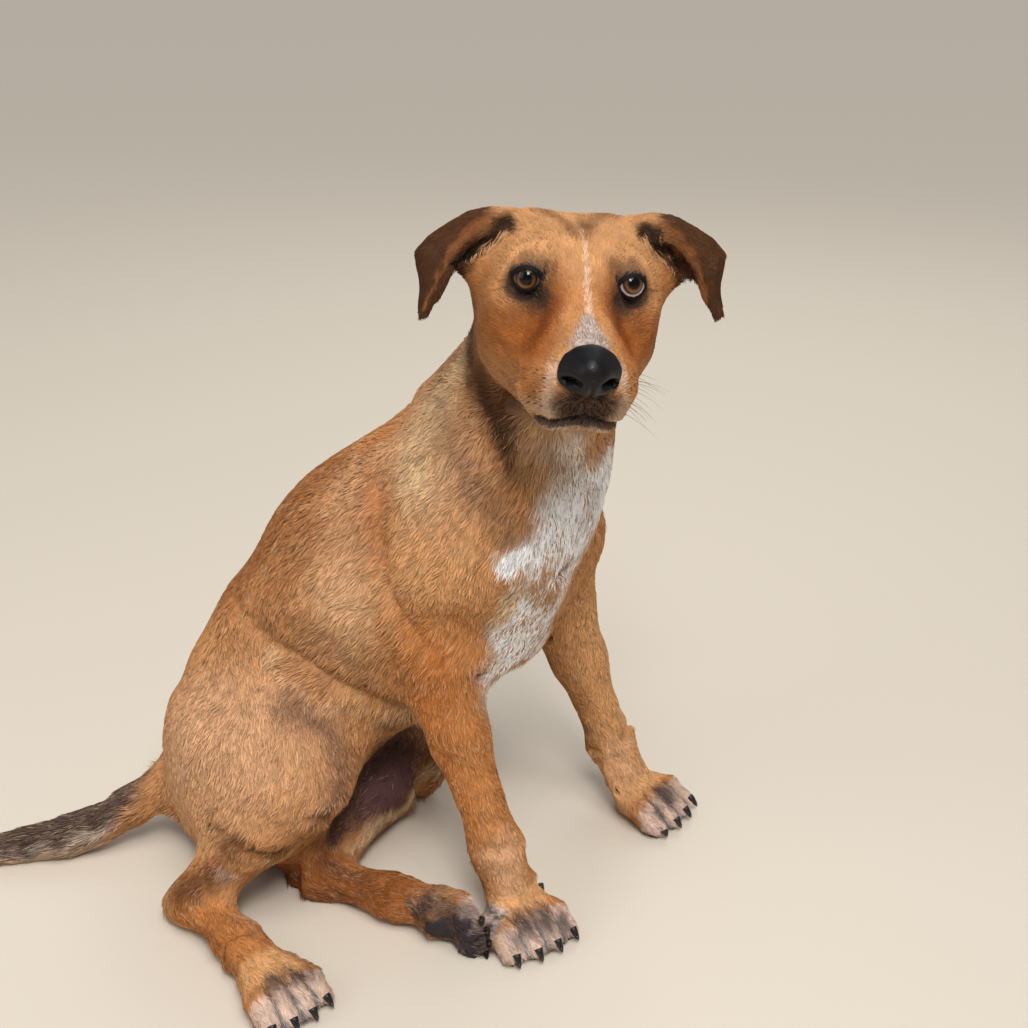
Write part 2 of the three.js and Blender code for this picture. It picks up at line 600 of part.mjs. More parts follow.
function earGeometry(sign, lift, sway) {
  const raised = ([x, y, z]) =>
    point(x, sign * (y + sway * (20 - z)), z + lift * (y - 35)).applyMatrix4(HEAD);
  const line = (points) => new THREE.CatmullRomCurve3(points.map(raised));
  const [hind, crease, fore] = ["hind", "crease", "fore"].map((name) => line(EAR_LINES[name]));
  const leaf = (u, v) => {
    const [a, b, c] = [hind, crease, fore].map((curve) => curve.getPoint(v));
    const over = b.clone().multiplyScalar(2).addScaledVector(a, -0.5).addScaledVector(c, -0.5);
    return new THREE.QuadraticBezierCurve3(a, over, c).getPoint(u);
  };
  const box = new THREE.BoxGeometry(1, 1, 1, EAR_STEPS.across, EAR_STEPS.along, 1);
  const corners = box.attributes.position;
  const inner = 0.012;
  for (let i = 0; i < corners.count; i++) {
    const u = (corners.getX(i) + 0.5) * (1 - 2 * inner) + inner;
    const v = (corners.getY(i) + 0.5) * (1 - 2 * inner) + inner;
    const p = leaf(u, v);
    const across = leaf(u + inner, v).sub(leaf(u - inner, v));
    const along = leaf(u, v + inner).sub(leaf(u, v - inner));
    const out = across.cross(along).normalize().multiplyScalar(sign);
    const edge = Math.sqrt(Math.max(0.12, 1 - (2 * Math.abs(u - 0.5)) ** 4));
    p.addScaledVector(out, corners.getZ(i) * EAR_THICKNESS * edge);
    corners.setXYZ(i, p.x, p.y, p.z);
  }
  if (sign < 0) box.setIndex([...box.index.array].reverse());
  box.deleteAttribute("normal");
  box.deleteAttribute("uv");
  return box;
}

const room = swollen(solids.head, SEAT_GAP).add(swollen(solids.neck, SEAT_GAP));
for (const [side, sign] of Object.entries(SIDES))
  solids["ear_" + side] = largest(toManifold(earGeometry(sign, EAR_LIFT[side], EAR_SWAY[side])).subtract(room));

// ---------------------------------------------------------------- claws
const CLAW_SIDES = 5;
const CLAW_STEPS = 2;
const CLAW_BEND = 0.055; // how far the claw droops, per millimetre of length, squared

function clawGeometry(seat) {
  const cone = new THREE.ConeGeometry(CLAW_RADIUS, CLAW_LENGTH, CLAW_SIDES, CLAW_STEPS);
  cone.rotateZ(-Math.PI / 2).translate(CLAW_LENGTH / 2 - 6, 0, 0);
  const corners = cone.attributes.position;
  for (let i = 0; i < corners.count; i++) {
    const x = Math.max(corners.getX(i), 0);
    corners.setZ(i, corners.getZ(i) * 1.15 - (x * x * CLAW_BEND) / 2);
  }
  cone.deleteAttribute("normal");
  cone.deleteAttribute("uv");
  return cone.applyMatrix4(seat);
}

for (const [name, described] of Object.entries(PAWS)) {
  const room = swollen(solids[name.replace("_", "_paw_")], SEAT_GAP);
  clawSeats(described).forEach((seat, i) => {
    solids[`claw_${name}_${i + 1}`] = largest(toManifold(clawGeometry(seat)).subtract(room));
  });
}

// ---------------------------------------------------------------- the floor
// The weight presses the flesh flat where it rests on the floor.
const ground = new THREE.BoxGeometry(2000, 2000, 100).translate(0, 0, PRESSED - 50);
const floor = plainSolid(ground, new THREE.Matrix4());
for (const [name, solid] of Object.entries(solids))
  if (solid.boundingBox().min[2] < PRESSED) solids[name] = largest(solid.subtract(floor));

// ---------------------------------------------------------------- the dog
const COLOURS = {
  coat: 0xb47a45, ear: 0x4a2d1c, nose: 0x1c1a1a, eye: 0x6b3a18, claw: 0x15130f,
  tail: 0x8d8078, paw: 0xb9a08a,
};
const FINISH = { coat: 0.85, ear: 0.85, tail: 0.85, paw: 0.85, nose: 0.45, eye: 0.08, claw: 0.4 };
function kindOf(name) {
  const kinds = ["ear", "nose", "eye", "claw", "tail", "paw"];
  return kinds.find((kind) => name.includes(kind)) ?? "coat";
}

const dog = new THREE.Group();
for (const [name, solid] of Object.entries(solids)) {
  const kind = kindOf(name);
  const material = new THREE.MeshStandardMaterial({ color: COLOURS[kind], roughness: FINISH[kind] });
  const mesh = new THREE.Mesh(toGeometry(solid), material);
  mesh.name = name;
  dog.add(mesh);
}

// The origin is on the floor, under the middle of the dog's bounding box.
const bounds = new THREE.Box3().setFromObject(dog);
const middle = bounds.getCenter(point(0, 0, 0));
dog.position.set(-middle.x, -middle.y, -PRESSED);

export default dog;
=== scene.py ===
"""The looks of a young crossbreed dog that sits on its left haunch.

The flesh of the frame is joined and smoothed to one skin, which lies under the coat by the coat's
depth. Every place on it has a lie, a length and a marking, and the tufts of the coat grow from it with
the same markings. Eyes, nose, claws and whiskers are pieces of their own.
"""

import math

import bmesh
import bpy
import numpy as np
from bpy.props import FloatProperty, FloatVectorProperty, IntProperty, PointerProperty
from mathutils import Matrix, Vector
from mathutils.bvhtree import BVHTree
from mathutils.kdtree import KDTree


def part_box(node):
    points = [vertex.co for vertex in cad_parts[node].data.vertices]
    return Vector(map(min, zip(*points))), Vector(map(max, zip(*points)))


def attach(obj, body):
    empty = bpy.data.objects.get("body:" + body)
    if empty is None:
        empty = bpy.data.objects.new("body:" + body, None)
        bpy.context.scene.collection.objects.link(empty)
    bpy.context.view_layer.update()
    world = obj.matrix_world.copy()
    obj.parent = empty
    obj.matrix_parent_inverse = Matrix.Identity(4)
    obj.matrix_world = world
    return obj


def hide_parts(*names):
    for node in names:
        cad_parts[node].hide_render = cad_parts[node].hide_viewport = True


bl_info = {
    "name": "Sitting puppy",
    "version": (1, 0, 0),
    "blender": (4, 5, 0),
    "location": "View3D > Sidebar > Puppy",
    "description": "Skin, coat, eyes, nose and claws of a sitting young dog",
    "category": "Object",
}

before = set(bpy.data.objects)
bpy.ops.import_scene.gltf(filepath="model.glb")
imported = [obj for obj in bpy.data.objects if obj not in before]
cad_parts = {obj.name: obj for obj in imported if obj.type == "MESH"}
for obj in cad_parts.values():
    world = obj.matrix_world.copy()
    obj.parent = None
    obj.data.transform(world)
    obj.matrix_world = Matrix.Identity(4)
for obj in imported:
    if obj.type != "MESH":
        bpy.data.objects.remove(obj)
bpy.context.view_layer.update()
MM = 0.001
SIDES = {"right": -1, "left": 1}
PAWS = ("fore_right", "fore_left", "hind_right", "hind_left")
SEED = 7
WAVES = 7  # in each random field
SAME_PLACE = 1e-5  # corners nearer than this are one


# ---------------------------------------------------------------- places on the dog
MIRROR = np.array([1, -1, 1])  # carries a point of a local frame to the dog's other side


def centre(node):
    low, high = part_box(node)
    return (low + high) / 2


def basis(origin, forward, up):
    """A local frame in millimetres: forward, to the left and up."""
    ahead = forward.normalized()
    left = up.cross(ahead).normalized()
    local = Matrix((ahead, left, ahead.cross(left))).transposed().to_4x4()
    local.translation = origin
    return local @ Matrix.Scale(MM, 4)


# The head's frame has its origin between the eyes, which lie a little behind and above it.
EYE_SET_BACK = 6.0
EYE_RAISED = 1.6
EYES = (centre("eye_left") + centre("eye_right")) / 2
HEAD = basis(EYES, Vector((0.08, -1, -0.02)), Vector((0.075, 0, 1)))
HEAD = HEAD @ Matrix.Translation((EYE_SET_BACK, 0, -EYE_RAISED))
# The body's frame is in millimetres too, on the floor, with the head's origin at this place.
HEAD_IN_BODY = Vector((36, -140, 474))
BODY = Matrix.Translation(HEAD.translation - HEAD_IN_BODY * MM) @ Matrix.Scale(MM, 4)
# A paw's place, its way forward and up in the body's frame, and how far apart its toes lie.
PAW_STANDS = {
    "fore_right": ((4, -104, 16), (0.57, -0.82, 0), (0, 0, 1), 14.2),
    "fore_left": ((103, 41, 16), (0.82, -0.57, 0), (0, 0, 1), 14.2),
    "hind_right": ((-158, -172, 16), (0.66, -0.75, 0), (0, 0, 1), 12.6),
    "hind_left": ((-46, -112, 23), (0.86, -0.5, -0.02), (0.5, 0.8, 0.2), 9.8),
}
PAW_FRAMES = {paw: basis(BODY @ Vector(stand), Vector(ahead), Vector(up))
              for paw, (stand, ahead, up, _) in PAW_STANDS.items()}
# Distances on the muzzle are taken as seen from the front, more or less.
FLAT_FRONT = np.array([0.3, 1, 1])


def inside(local, points):
    """Points of the frame in a local frame's own millimetres."""
    turn = np.array(local.inverted())
    return points @ turn[:3, :3].T + turn[:3, 3]


def outside(local, points):
    """Points in a local frame's own millimetres, carried back to the frame."""
    turn = np.array(local)
    return np.asarray(points, float).reshape(-1, 3) @ turn[:3, :3].T + turn[:3, 3]


def on_side(path, side):
    """A line of a local frame as it is, or for -1 on the other side of the dog."""
    return [(x, side * y, z) for x, y, z in path]


def unit(vectors):
    return vectors / np.maximum(np.linalg.norm(vectors, axis=-1, keepdims=True), 1e-9)


def smoothstep(low, high, value):
    t = np.clip((value - low) / (high - low), 0, 1)
    return t * t * (3 - 2 * t)


def ripple(points, wavelength, seed):
    """A smooth random field between about -1 and 1."""
    rng = np.random.default_rng(seed)
    waves = unit(rng.normal(size=(WAVES, 3))) * (2 * math.pi / wavelength)
    waves *= rng.uniform(0.6, 1.5, (WAVES, 1))
    return np.sin(points @ waves.T + rng.uniform(0, 6.3, WAVES)).sum(1) / 3.2


def spline(points, steps):
    """A smooth line through a few points, and its direction at each step."""
    points = np.asarray(points, float)
    padded = np.vstack([2 * points[0] - points[1], points, 2 * points[-1] - points[-2]])
    line = []
    for n in range(len(points) - 1):
        a, b, c, d = padded[n:n + 4]
        t = np.linspace(0, 1, steps, endpoint=n == len(points) - 2)[:, None]
        line.append(0.5 * (2 * b + (c - a) * t + (2 * a - 5 * b + 4 * c - d) * t ** 2
                           + (3 * b - a - 3 * c + d) * t ** 3))
    line = np.vstack(line)
    return line, unit(np.gradient(line, axis=0))


def nearest(places, points):
    """For each point, the number of the place that lies nearest to it."""
    tree = KDTree(len(places))
    for number, place in enumerate(places):
        tree.insert(place, number)
    tree.balance()
    return [tree.find(p)[1] for p in points]


def distance_to_line(points, line):
    """How far points lie from a line of short steps, and how far along it, from 0 to 1."""
    best = np.full(len(points), np.inf)
    along = np.zeros(len(points))
    for n in range(len(line) - 1):
        a, step = line[n], line[n + 1] - line[n]
        t = np.clip((points - a) @ step / (step @ step), 0, 1)
        d = np.linalg.norm(points - a - t[:, None] * step, axis=1)
        nearer = d < best
        best[nearer] = d[nearer]
        along[nearer] = (n + t[nearer]) / (len(line) - 1)
    return best, along


# ---------------------------------------------------------------- the coat's measures
# For each part of the body: how far its facets are smoothed, the coat's depth, the length and width
# of its tufts, all in millimetres, and how many tufts grow on a square centimetre.
COAT = {
    "head": (4.2, 0.8, 4.5, 0.44, 124),
    "jaw": (3.4, 0.8, 4.6, 0.46, 112),
    "ear": (3.6, 0.45, 2.8, 0.42, 120),
    "neck": (11.0, 2.2, 11.5, 0.85, 42),
    "trunk": (12.0, 1.8, 9.5, 0.82, 42),
    "upper_foreleg": (10.0, 1.6, 8.5, 0.82, 40),
    "forearm": (6.0, 1.2, 6.2, 0.7, 52),
    "fore_paw": (2.6, 1.0, 4.5, 0.62, 64),
    "thigh": (11.0, 1.5, 7.4, 0.78, 48),
    "shank": (6.0, 1.2, 6.2, 0.7, 54),
    "pastern": (4.4, 1.2, 6.2, 0.7, 52),
    "hind_paw": (2.8, 1.1, 4.8, 0.62, 64),
    "tail": (6.0, 2.4, 10.5, 0.82, 44),
}
MEASURES = ("smoothing", "depth", "length", "width", "density")
SMOOTHING, DEPTH, LENGTH, WIDTH, DENSITY = range(len(MEASURES))
FLESH = sorted(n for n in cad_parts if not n.startswith(("eye", "claw", "nose")))


def kind_of(node):
    return max((kind for kind in COAT if node.startswith(kind)), key=len)


def nearest_node(points):
    """For each point, the index in FLESH of the node that it lies on."""
    places, owners = [], []
    for number, node in enumerate(FLESH):
        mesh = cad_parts[node].data
        samples = [v.co for v in mesh.vertices] + [p.center for p in mesh.polygons]
        places += samples
        owners += [number] * len(samples)
    return np.array(owners)[nearest(places, points)]


# ---------------------------------------------------------------- meshes as arrays
def read(items, key, width, kind=np.float32):
    """One property of all the items of a mesh, a row for each."""
    values = np.empty(len(items) * width, kind)
    items.foreach_get(key, values)
    return values.reshape(-1, width)


def positions(mesh):
    return read(mesh.vertices, "co", 3).astype(float)


def set_positions(mesh, co):
    mesh.vertices.foreach_set("co", np.asarray(co, np.float32).ravel())
    mesh.update()


def normals(mesh):
    return read(mesh.vertex_normals, "vector", 3).astype(float)


def triangles(mesh):
    mesh.calc_loop_triangles()
    return read(mesh.loop_triangles, "vertices", 3, np.int32)


def store(mesh, name, values, kind="FLOAT"):
    """Stores a value on each corner point of a mesh."""
    layer = mesh.attributes.get(name) or mesh.attributes.new(name, kind, "POINT")
    key = {"FLOAT": "value", "FLOAT_VECTOR": "vector", "FLOAT_COLOR": "color"}[kind]
    layer.data.foreach_set(key, np.ascontiguousarray(values, np.float32).ravel())


def stored(mesh, name, width=1):
    """The values that were stored on the corner points of a mesh."""
    key = {1: "value", 3: "vector"}[width]
    values = read(mesh.attributes[name].data, key, width).astype(float)
    return values.ravel() if width == 1 else values


class Net:
    """The edges of a mesh, along which values are averaged."""

    def __init__(self, mesh):
        self.a, self.b = read(mesh.edges, "vertices", 2, np.int32).T
        self.n = len(mesh.vertices)
        self.count = np.bincount(self.a, minlength=self.n) + np.bincount(self.b, minlength=self.n)
        co = positions(mesh)
        self.step = float(np.linalg.norm(co[self.a] - co[self.b], axis=1).mean())

    def mean(self, values):
        """The mean of the values at each point's neighbours."""
        sums = [np.bincount(self.a, v[self.b], self.n) + np.bincount(self.b, v[self.a], self.n)
                for v in values.T]
        return np.stack(sums, 1) / self.count[:, None]

    def smoothed(self, values, share, rounds):
        for _ in range(rounds):
            values = values + share * (self.mean(values) - values)
        return values


def new_object(name, mesh):
    piece = bpy.data.objects.new(name, mesh)
    bpy.context.scene.collection.objects.link(piece)
    return piece


def mesh_from(bm, name):
    """A mesh of what was made in bm, which is freed."""
    mesh = bpy.data.meshes.new(name)
    bm.to_mesh(mesh)
    bm.free()
    return mesh


def applied(piece):
    """Makes a piece's modifiers part of its mesh."""
    bpy.context.view_layer.update()
    evaluated = piece.evaluated_get(bpy.context.evaluated_depsgraph_get())
    mesh = bpy.data.meshes.new_from_object(evaluated)
    piece.modifiers.clear()
    piece.data = mesh
    return mesh


def swelling(kind):
    """How far a part of the flesh swells to meet its neighbours before they are joined."""
    return max(2.0, 0.42 * COAT[kind][SMOOTHING]) * MM


def joined_copy(nodes, extra=()):
    """The nodes' solids in one mesh, each swollen so that neighbours meet, with filler balls."""
    whole = bmesh.new()
    for node in nodes:
        grow = swelling(kind_of(node))
        part = bmesh.new()
        part.from_mesh(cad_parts[node].data)
        bmesh.ops.remove_doubles(part, verts=part.verts, dist=SAME_PLACE)
        part.normal_update()
        for v in part.verts:
            v.co += v.normal * grow * min(v.calc_shell_factor(), 1.6)
        copy = mesh_from(part, "copy")
        whole.from_mesh(copy)
        bpy.data.meshes.remove(copy)
    for where, radius in extra:
        bmesh.ops.create_uvsphere(whole, u_segments=24, v_segments=16, radius=radius,
                                  matrix=Matrix.Translation(where))
    return mesh_from(whole, "flesh")


def remeshed(piece, voxel):
    remesh = piece.modifiers.new("Grid", "REMESH")
    remesh.mode = "VOXEL"
    remesh.voxel_size = voxel
    return applied(piece)


# ---------------------------------------------------------------- the lie of the coat
# Lines that the hairs follow, from root to tip. First those on the head, in its frame: along its
# middle, then those that both of its sides have. The rest are in the body's frame.
HEAD_LIE = [
    [(62, 0, -14), (30, 0, -6), (6, 0, 8), (-30, 0, 30), (-66, 0, 34), (-100, 0, 16)],
]
SIDE_LIE = [
    [(62, 14, -30), (36, 19, -27), (12, 26, -22), (-16, 44, -20), (-50, 56, -22), (-84, 48, -28)],
    [(56, 16, -46), (26, 24, -48), (-4, 36, -50), (-36, 44, -52), (-72, 40, -52)],
    [(50, 5, -67), (24, 9, -72), (-6, 14, -74), (-40, 18, -76), (-70, 20, -80)],
    [(34, 10, -8), (14, 18, 2), (-8, 30, 17), (-36, 40, 24), (-70, 40, 20)],
    [(8, 40, -6), (-20, 52, -2), (-46, 54, 4), (-76, 46, 6)],
    [(24, 20, -18), (6, 36, -20), (-20, 48, -12), (-44, 56, -8)],
]
EAR_LIE = [
    [(-66, 32, 20), (-62, 56, 24), (-58, 78, 8), (-48, 86, -12), (-36, 88, -28)],
    [(-40, 34, 34), (-36, 58, 28), (-34, 72, 6), (-34, 80, -14), (-34, 87, -30)],
]
BODY_LIE = [
    [(14, -30, 470), (-24, -4, 400), (-62, 20, 330), (-120, 50, 250), (-190, 56, 170), (-250, 30, 100)],
    [(10, -110, 420), (-6, -84, 360), (-36, -62, 300), (-80, -50, 240), (-130, -46, 190), (-190, -50, 150)],
    [(44, -118, 405), (38, -100, 350), (26, -84, 300), (12, -76, 240), (-10, -66, 190), (-40, -50, 150)],
    [(70, -60, 420), (64, -30, 350), (60, -10, 300), (54, 10, 240), (40, 30, 200)],
    [(0, -80, 330), (-22, -96, 270), (-44, -92, 220), (-52, -78, 180), (-30, -84, 120), (-10, -90, 60)],
    [(40, 10, 310), (40, 40, 250), (40, 60, 190), (60, 66, 120), (80, 66, 60)],
    [(-60, -60, 210), (-90, -50, 160), (-120, -40, 120), (-130, -20, 90)],
    [(-100, 90, 260), (-130, 100, 190), (-160, 110, 120), (-170, 120, 60)],
    [(-40, 60, 240), (-70, 70, 170), (-100, 60, 110), (-130, 40, 70)],
    [(-190, -30, 180), (-170, -80, 150), (-180, -100, 100), (-200, -100, 60), (-226, -100, 30)],
    [(-130, -90, 150), (-130, -100, 110), (-160, -100, 80), (-200, -100, 45)],
    [(-230, -20, 150), (-246, -30, 100), (-240, -40, 60)],
    [(-180, 110, 90), (-130, 100, 70), (-90, 70, 50)],
    [(-88, 56, 40), (-110, 0, 36), (-140, -50, 24)],
]
# The right and left hind paw, then the right and left fore paw.
PAW_LIE = [
    [(-224, -100, 24), (-200, -130, 22), (-170, -160, 18), (-140, -190, 10)],
    [(-142, -58, 18), (-100, -84, 20), (-60, -106, 24), (-20, -124, 26)],
    [(-13, -84, 60), (0, -98, 34), (16, -116, 20), (30, -132, 8)],
    [(76, 62, 58), (92, 50, 34), (112, 34, 20), (128, 22, 8)],
]
TAIL_LIE = [(-240, 8, 70), (-284, 0, 42), (-334, -14, 22), (-392, -26, 14), (-450, -40, 12),
            (-506, -44, 10), (-560, -34, 8)]
LIE_BLUR = 0.008  # metres within which the lines share a hair
CHUNK = 20000  # points taken at a time, to save memory


def lie_guides():
    """Places all over the dog with the direction in which the hair lies there."""
    lines = [(HEAD, path) for path in HEAD_LIE]
    lines += [(HEAD, on_side(path, side)) for path in SIDE_LIE + EAR_LIE for side in SIDES.values()]
    lines += [(BODY, path) for path in BODY_LIE + PAW_LIE + [TAIL_LIE]]
    places, ways = [], []
    for local, path in lines:
        line, way = spline(path, 4)
        places.append(outside(local, line))
        ways.append(way @ np.array(local)[:3, :3].T)
    return np.vstack(places), unit(np.vstack(ways))


def lie_at(points, surface_normals):
    """Which way the hair lies at points of the surface, along the surface."""
    places, ways = lie_guides()
    lie = np.empty_like(points)
    for start in range(0, len(points), CHUNK):
        chunk = slice(start, start + CHUNK)
        d = np.linalg.norm(points[chunk, None] - places[None], axis=2)
        weight = 1 / (d + LIE_BLUR) ** 4
        lie[chunk] = weight @ ways
    lie = unit(lie)
    lie -= surface_normals * (lie * surface_normals).sum(1, keepdims=True)
    return unit(lie)


# ---------------------------------------------------------------- markings
def srgb(red, green, blue):
    c = np.array([red, green, blue]) / 255
    return np.where(c <= 0.04045, c / 12.92, ((c + 0.055) / 1.055) ** 2.4)


TAN = srgb(190, 134, 86)
LIGHT_TAN = srgb(216, 162, 110)
RUST = srgb(172, 96, 40)
ORANGE = srgb(188, 118, 60)
BROWN = srgb(146, 90, 50)
FAWN = srgb(208, 160, 120)
BUFF = srgb(216, 182, 140)
CREAM = srgb(240, 218, 196)
WHITE = srgb(246, 243, 241)
PALE = srgb(224, 196, 178)
GREY = srgb(136, 122, 114)
SLATE = srgb(80, 66, 64)
PAD = srgb(56, 49, 51)
CHARCOAL = srgb(46, 37, 37)
BLACK = srgb(20, 16, 16)
CHOCOLATE = srgb(60, 33, 19)
SIENNA = srgb(118, 60, 25)
DUN = srgb(116, 82, 64)
UMBER = srgb(100, 60, 32)
DARK = srgb(62, 36, 20)
DUSKY = srgb(62, 44, 45)
MAUVE = srgb(92, 62, 62)


def near_box(points, low, high, margin):
    """The places in a list of the points that lie in a box with a margin."""
    return np.flatnonzero(((points > low - margin) & (points < high + margin)).all(1))


def blob(points, middle, radii, soft=0.35):
    """1 inside an ellipsoid, falling to 0 outside it."""
    reach = np.linalg.norm((points - np.asarray(middle, float)) / np.asarray(radii, float), axis=1)
    return 1 - smoothstep(1 - soft, 1 + soft, reach)


def stripe(points, path, width, soft=0.5, steps=5):
    """1 along a line, falling to 0 beside it. A second width is the one at its end."""
    near, far = width if isinstance(width, tuple) else (width, width)
    line = spline(path, steps)[0]
    mask = np.zeros(len(points))
    chosen = near_box(points, line.min(0), line.max(0), max(near, far) * (1 + soft))
    d, along = distance_to_line(points[chosen], line)
    reach = d / (near + (far - near) * along)
    mask[chosen] = 1 - smoothstep(1 - soft, 1 + soft, reach)
    return mask


def two_sided(mark, points, where, size, soft=0.5, twins=None):
    """A stripe or blob on the points, and on their twins on the dog's other side."""
    if twins is None:
        twins = points * MIRROR
    return np.maximum(mark(points, where, size, soft), mark(twins, where, size, soft))


def painted(colours, colour, mask, strength=1.0):
    mask = np.clip(mask * strength, 0, 1)[:, None]
    return colours * (1 - mask) + colour * mask


def strokes(colours, points, table, twins=None):
    """Paints strokes on the points, and where their twins on the other side are covered."""
    for colour, strength, soft, where, size in table:
        mark = stripe if isinstance(where, list) else blob
        if twins is None:
            mask = mark(points, where, size, soft)
        else:
            mask = two_sided(mark, points, where, size, soft, twins)
        colours = painted(colours, colour, mask, strength)
    return colours


# Strokes of colour: the colour, its strength and softness, then a line and its width, or the middle
# of a patch and its radii. First those on both sides of the head, in its frame.
FACE_SIDES = [
    (TAN, 0.7, 0.6, (-30, 50, -20), (42, 22, 38)),
    (BROWN, 0.7, 0.7, (-24, 56, -38), (30, 12, 18)),
    (RUST, 0.95, 0.6, (22, 21, -25), (28, 15, 17)),
    (RUST, 0.75, 0.7, (2, 37, -28), (22, 16, 15)),
    (RUST, 0.7, 0.8, (12, 13, -4), (18, 7, 13)),
    (ORANGE, 0.6, 0.8, (-30, 52, -8), (20, 14, 14)),
    (ORANGE, 0.8, 0.6, (34, 25, -42), (22, 12, 9)),
    (BUFF, 0.5, 0.7, (36, 25, -57), (20, 12, 7)),
    (SIENNA, 0.8, 0.9, [(10, 18, -4), (19, 16, -6), (22, 20, -15), (26, 23, -27)], (6, 8)),
    (UMBER, 0.7, 1.0, [(-46, 16, 32), (-32, 10, 31), (-11, 3, 25)], (5.4, 3.0)),
    (UMBER, 0.35, 0.9, [(6, 17, 10), (2, 24, 13), (-4, 32, 13)], (4.0, 3.0)),
    (UMBER, 0.6, 0.9, [(6, 17, 12), (9, 16, 6), (11, 17, 0)], 4),
    (CHARCOAL, 0.75, 0.6, (7, 24, -7), (13, 11.5, 8)),
    (CHARCOAL, 0.75, 0.7, [(9, 19, -6), (16, 15, -11)], (5.0, 3.0)),
    (UMBER, 0.5, 0.9, (8, 33, -17), (10, 8, 6)),
]
FACE_MIDDLE = [
    (UMBER, 0.7, 0.8, [(-46, 2, 33), (-20, 2, 28)], 3.2),
    (ORANGE, 0.45, 0.8, (34, 0, -4), (26, 10, 12)),
]
MUZZLE_SIDES = [
    (CREAM, 0.5, 0.7, (58, 18, -50), (10, 5, 8)),
    (CREAM, 0.4, 0.8, (62, 18.5, -34), (7, 2.5, 12)),
]
MOUTH_LINE = [(62, 0, -54.0), (58, 8, -56), (50, 17, -59.5), (38, 26, -62), (20, 32, -59), (2, 38, -54)]
MOUTH_FROM_FRONT = [tuple(np.array(place) * FLAT_FRONT) for place in MOUTH_LINE]


def whisker_roots():
    """Rows of dark dots on the side of the muzzle, in the head's frame."""
    return [(56 - 6.2 * k - 1.5 * row, 17.0 + 2.5 * k, -36 - 4.8 * row - 0.6 * k)
            for row in range(4) for k in range(4)]


def head_markings(colours, h):
    """Paints points on the head, given in its frame."""
    rough = ripple(h, 9, 1)
    fine = ripple(h, 3.4, 2)
    h = h + np.stack([rough, fine, rough], 1) * 0.9
    forehead = smoothstep(-72, -40, h[:, 0]) * smoothstep(-34, -4, h[:, 2])
    colours = painted(colours, LIGHT_TAN, forehead, 0.5)
    colours = strokes(colours, h, FACE_SIDES, h * MIRROR)
    colours = strokes(colours, h, FACE_MIDDLE)
    width = np.interp(h[:, 0], (-20, 0, 20, 44), (0.8, 1.1, 1.5, 2.4))
    blaze = 1 - smoothstep(0.5, 1.4, np.abs(h[:, 1] - 1.5) / width)
    blaze *= smoothstep(-24, -12, h[:, 0]) * smoothstep(-16, -8, h[:, 2])
    blaze *= 0.4 + 0.6 * smoothstep(-0.5, 0.4, ripple(h, 2.6, 6))
    return painted(colours, CREAM, blaze, 0.5)


def muzzle_markings(colours, h):
    """The grey triangle above the nose, the pale and black lips and the whisker dots."""
    speckle = smoothstep(-0.5, 0.5, ripple(h, 1.5, 5))
    width = np.interp(h[:, 0], (28, 42, 58), (0.1, 4.5, 12))
    triangle = (1 - smoothstep(0.5, 1.2, np.abs(h[:, 1]) / width)) * smoothstep(28, 44, h[:, 0])
    triangle *= smoothstep(-28, -20, h[:, 2])
    colours = painted(colours, GREY, triangle, 0.7)
    colours = painted(colours, WHITE, triangle * speckle, 0.35)
    colours = strokes(colours, h, MUZZLE_SIDES, h * MIRROR)
    front = blob(h, (62, 0, -47), (26, 17.5, 11), 0.35)
    colours = painted(colours, CHARCOAL, front * (0.8 + 0.2 * speckle))
    colours = painted(colours, BLACK, front * speckle, 0.5)
    flat = h * FLAT_FRONT
    lip = two_sided(stripe, flat, MOUTH_FROM_FRONT, (2.2, 1.3))
    under = np.array([0, 0, 3.2])
    lower = two_sided(stripe, flat + under, MOUTH_FROM_FRONT[:4], (3.4, 1.0))
    chin = blob(h, (50, 0, -69), (20, 20, 8.5), 0.4)
    colours = painted(colours, GREY, chin, 0.8)
    colours = painted(colours, CREAM, chin * speckle, 0.7)
    colours = painted(colours, SLATE, lower, 0.9)
    colours = painted(colours, BLACK, lip, 0.95)
    for middle in whisker_roots():
        dots = two_sided(blob, h, middle, (4, 1.5, 1.4), 0.4)
        colours = painted(colours, BLACK, dots)
    return colours


EAR_CAVITY = [(-31, 39, 25), (-33, 46, 18), (-33, 54, 11), (-29, 63, 3)]
EAR_RIM = [(-30, 47, 28), (-30, 58, 22), (-30, 68, 12), (-30, 74, 0), (-31, 79, -12), (-33, 84, -28)]


def ear_markings(colours, h):
    """The chocolate ears with a brown fore rim, and black painted shade in their hollows."""
    h = h + ripple(h, 7, 8)[:, None] * 1.2
    out = np.abs(h[:, 1])
    dark = smoothstep(45, 55, out + 0.3 * (h[:, 2] - 22))
    colours = painted(colours, CHOCOLATE, dark, 0.95)
    colours = painted(colours, UMBER, dark * smoothstep(2, 20, h[:, 2]), 0.3)
    rim = two_sided(stripe, h, EAR_RIM, (4.4, 0.8), 0.6)
    colours = painted(colours, BROWN * 0.9, rim, 0.8)
    # Painted shade: the hollow before each ear is painted black for the darkness deep in its opening.
    hollow = two_sided(stripe, h, EAR_CAVITY, (6.5, 5), 0.4)
    return painted(colours, BLACK, hollow * (h[:, 0] > -50), 0.92)


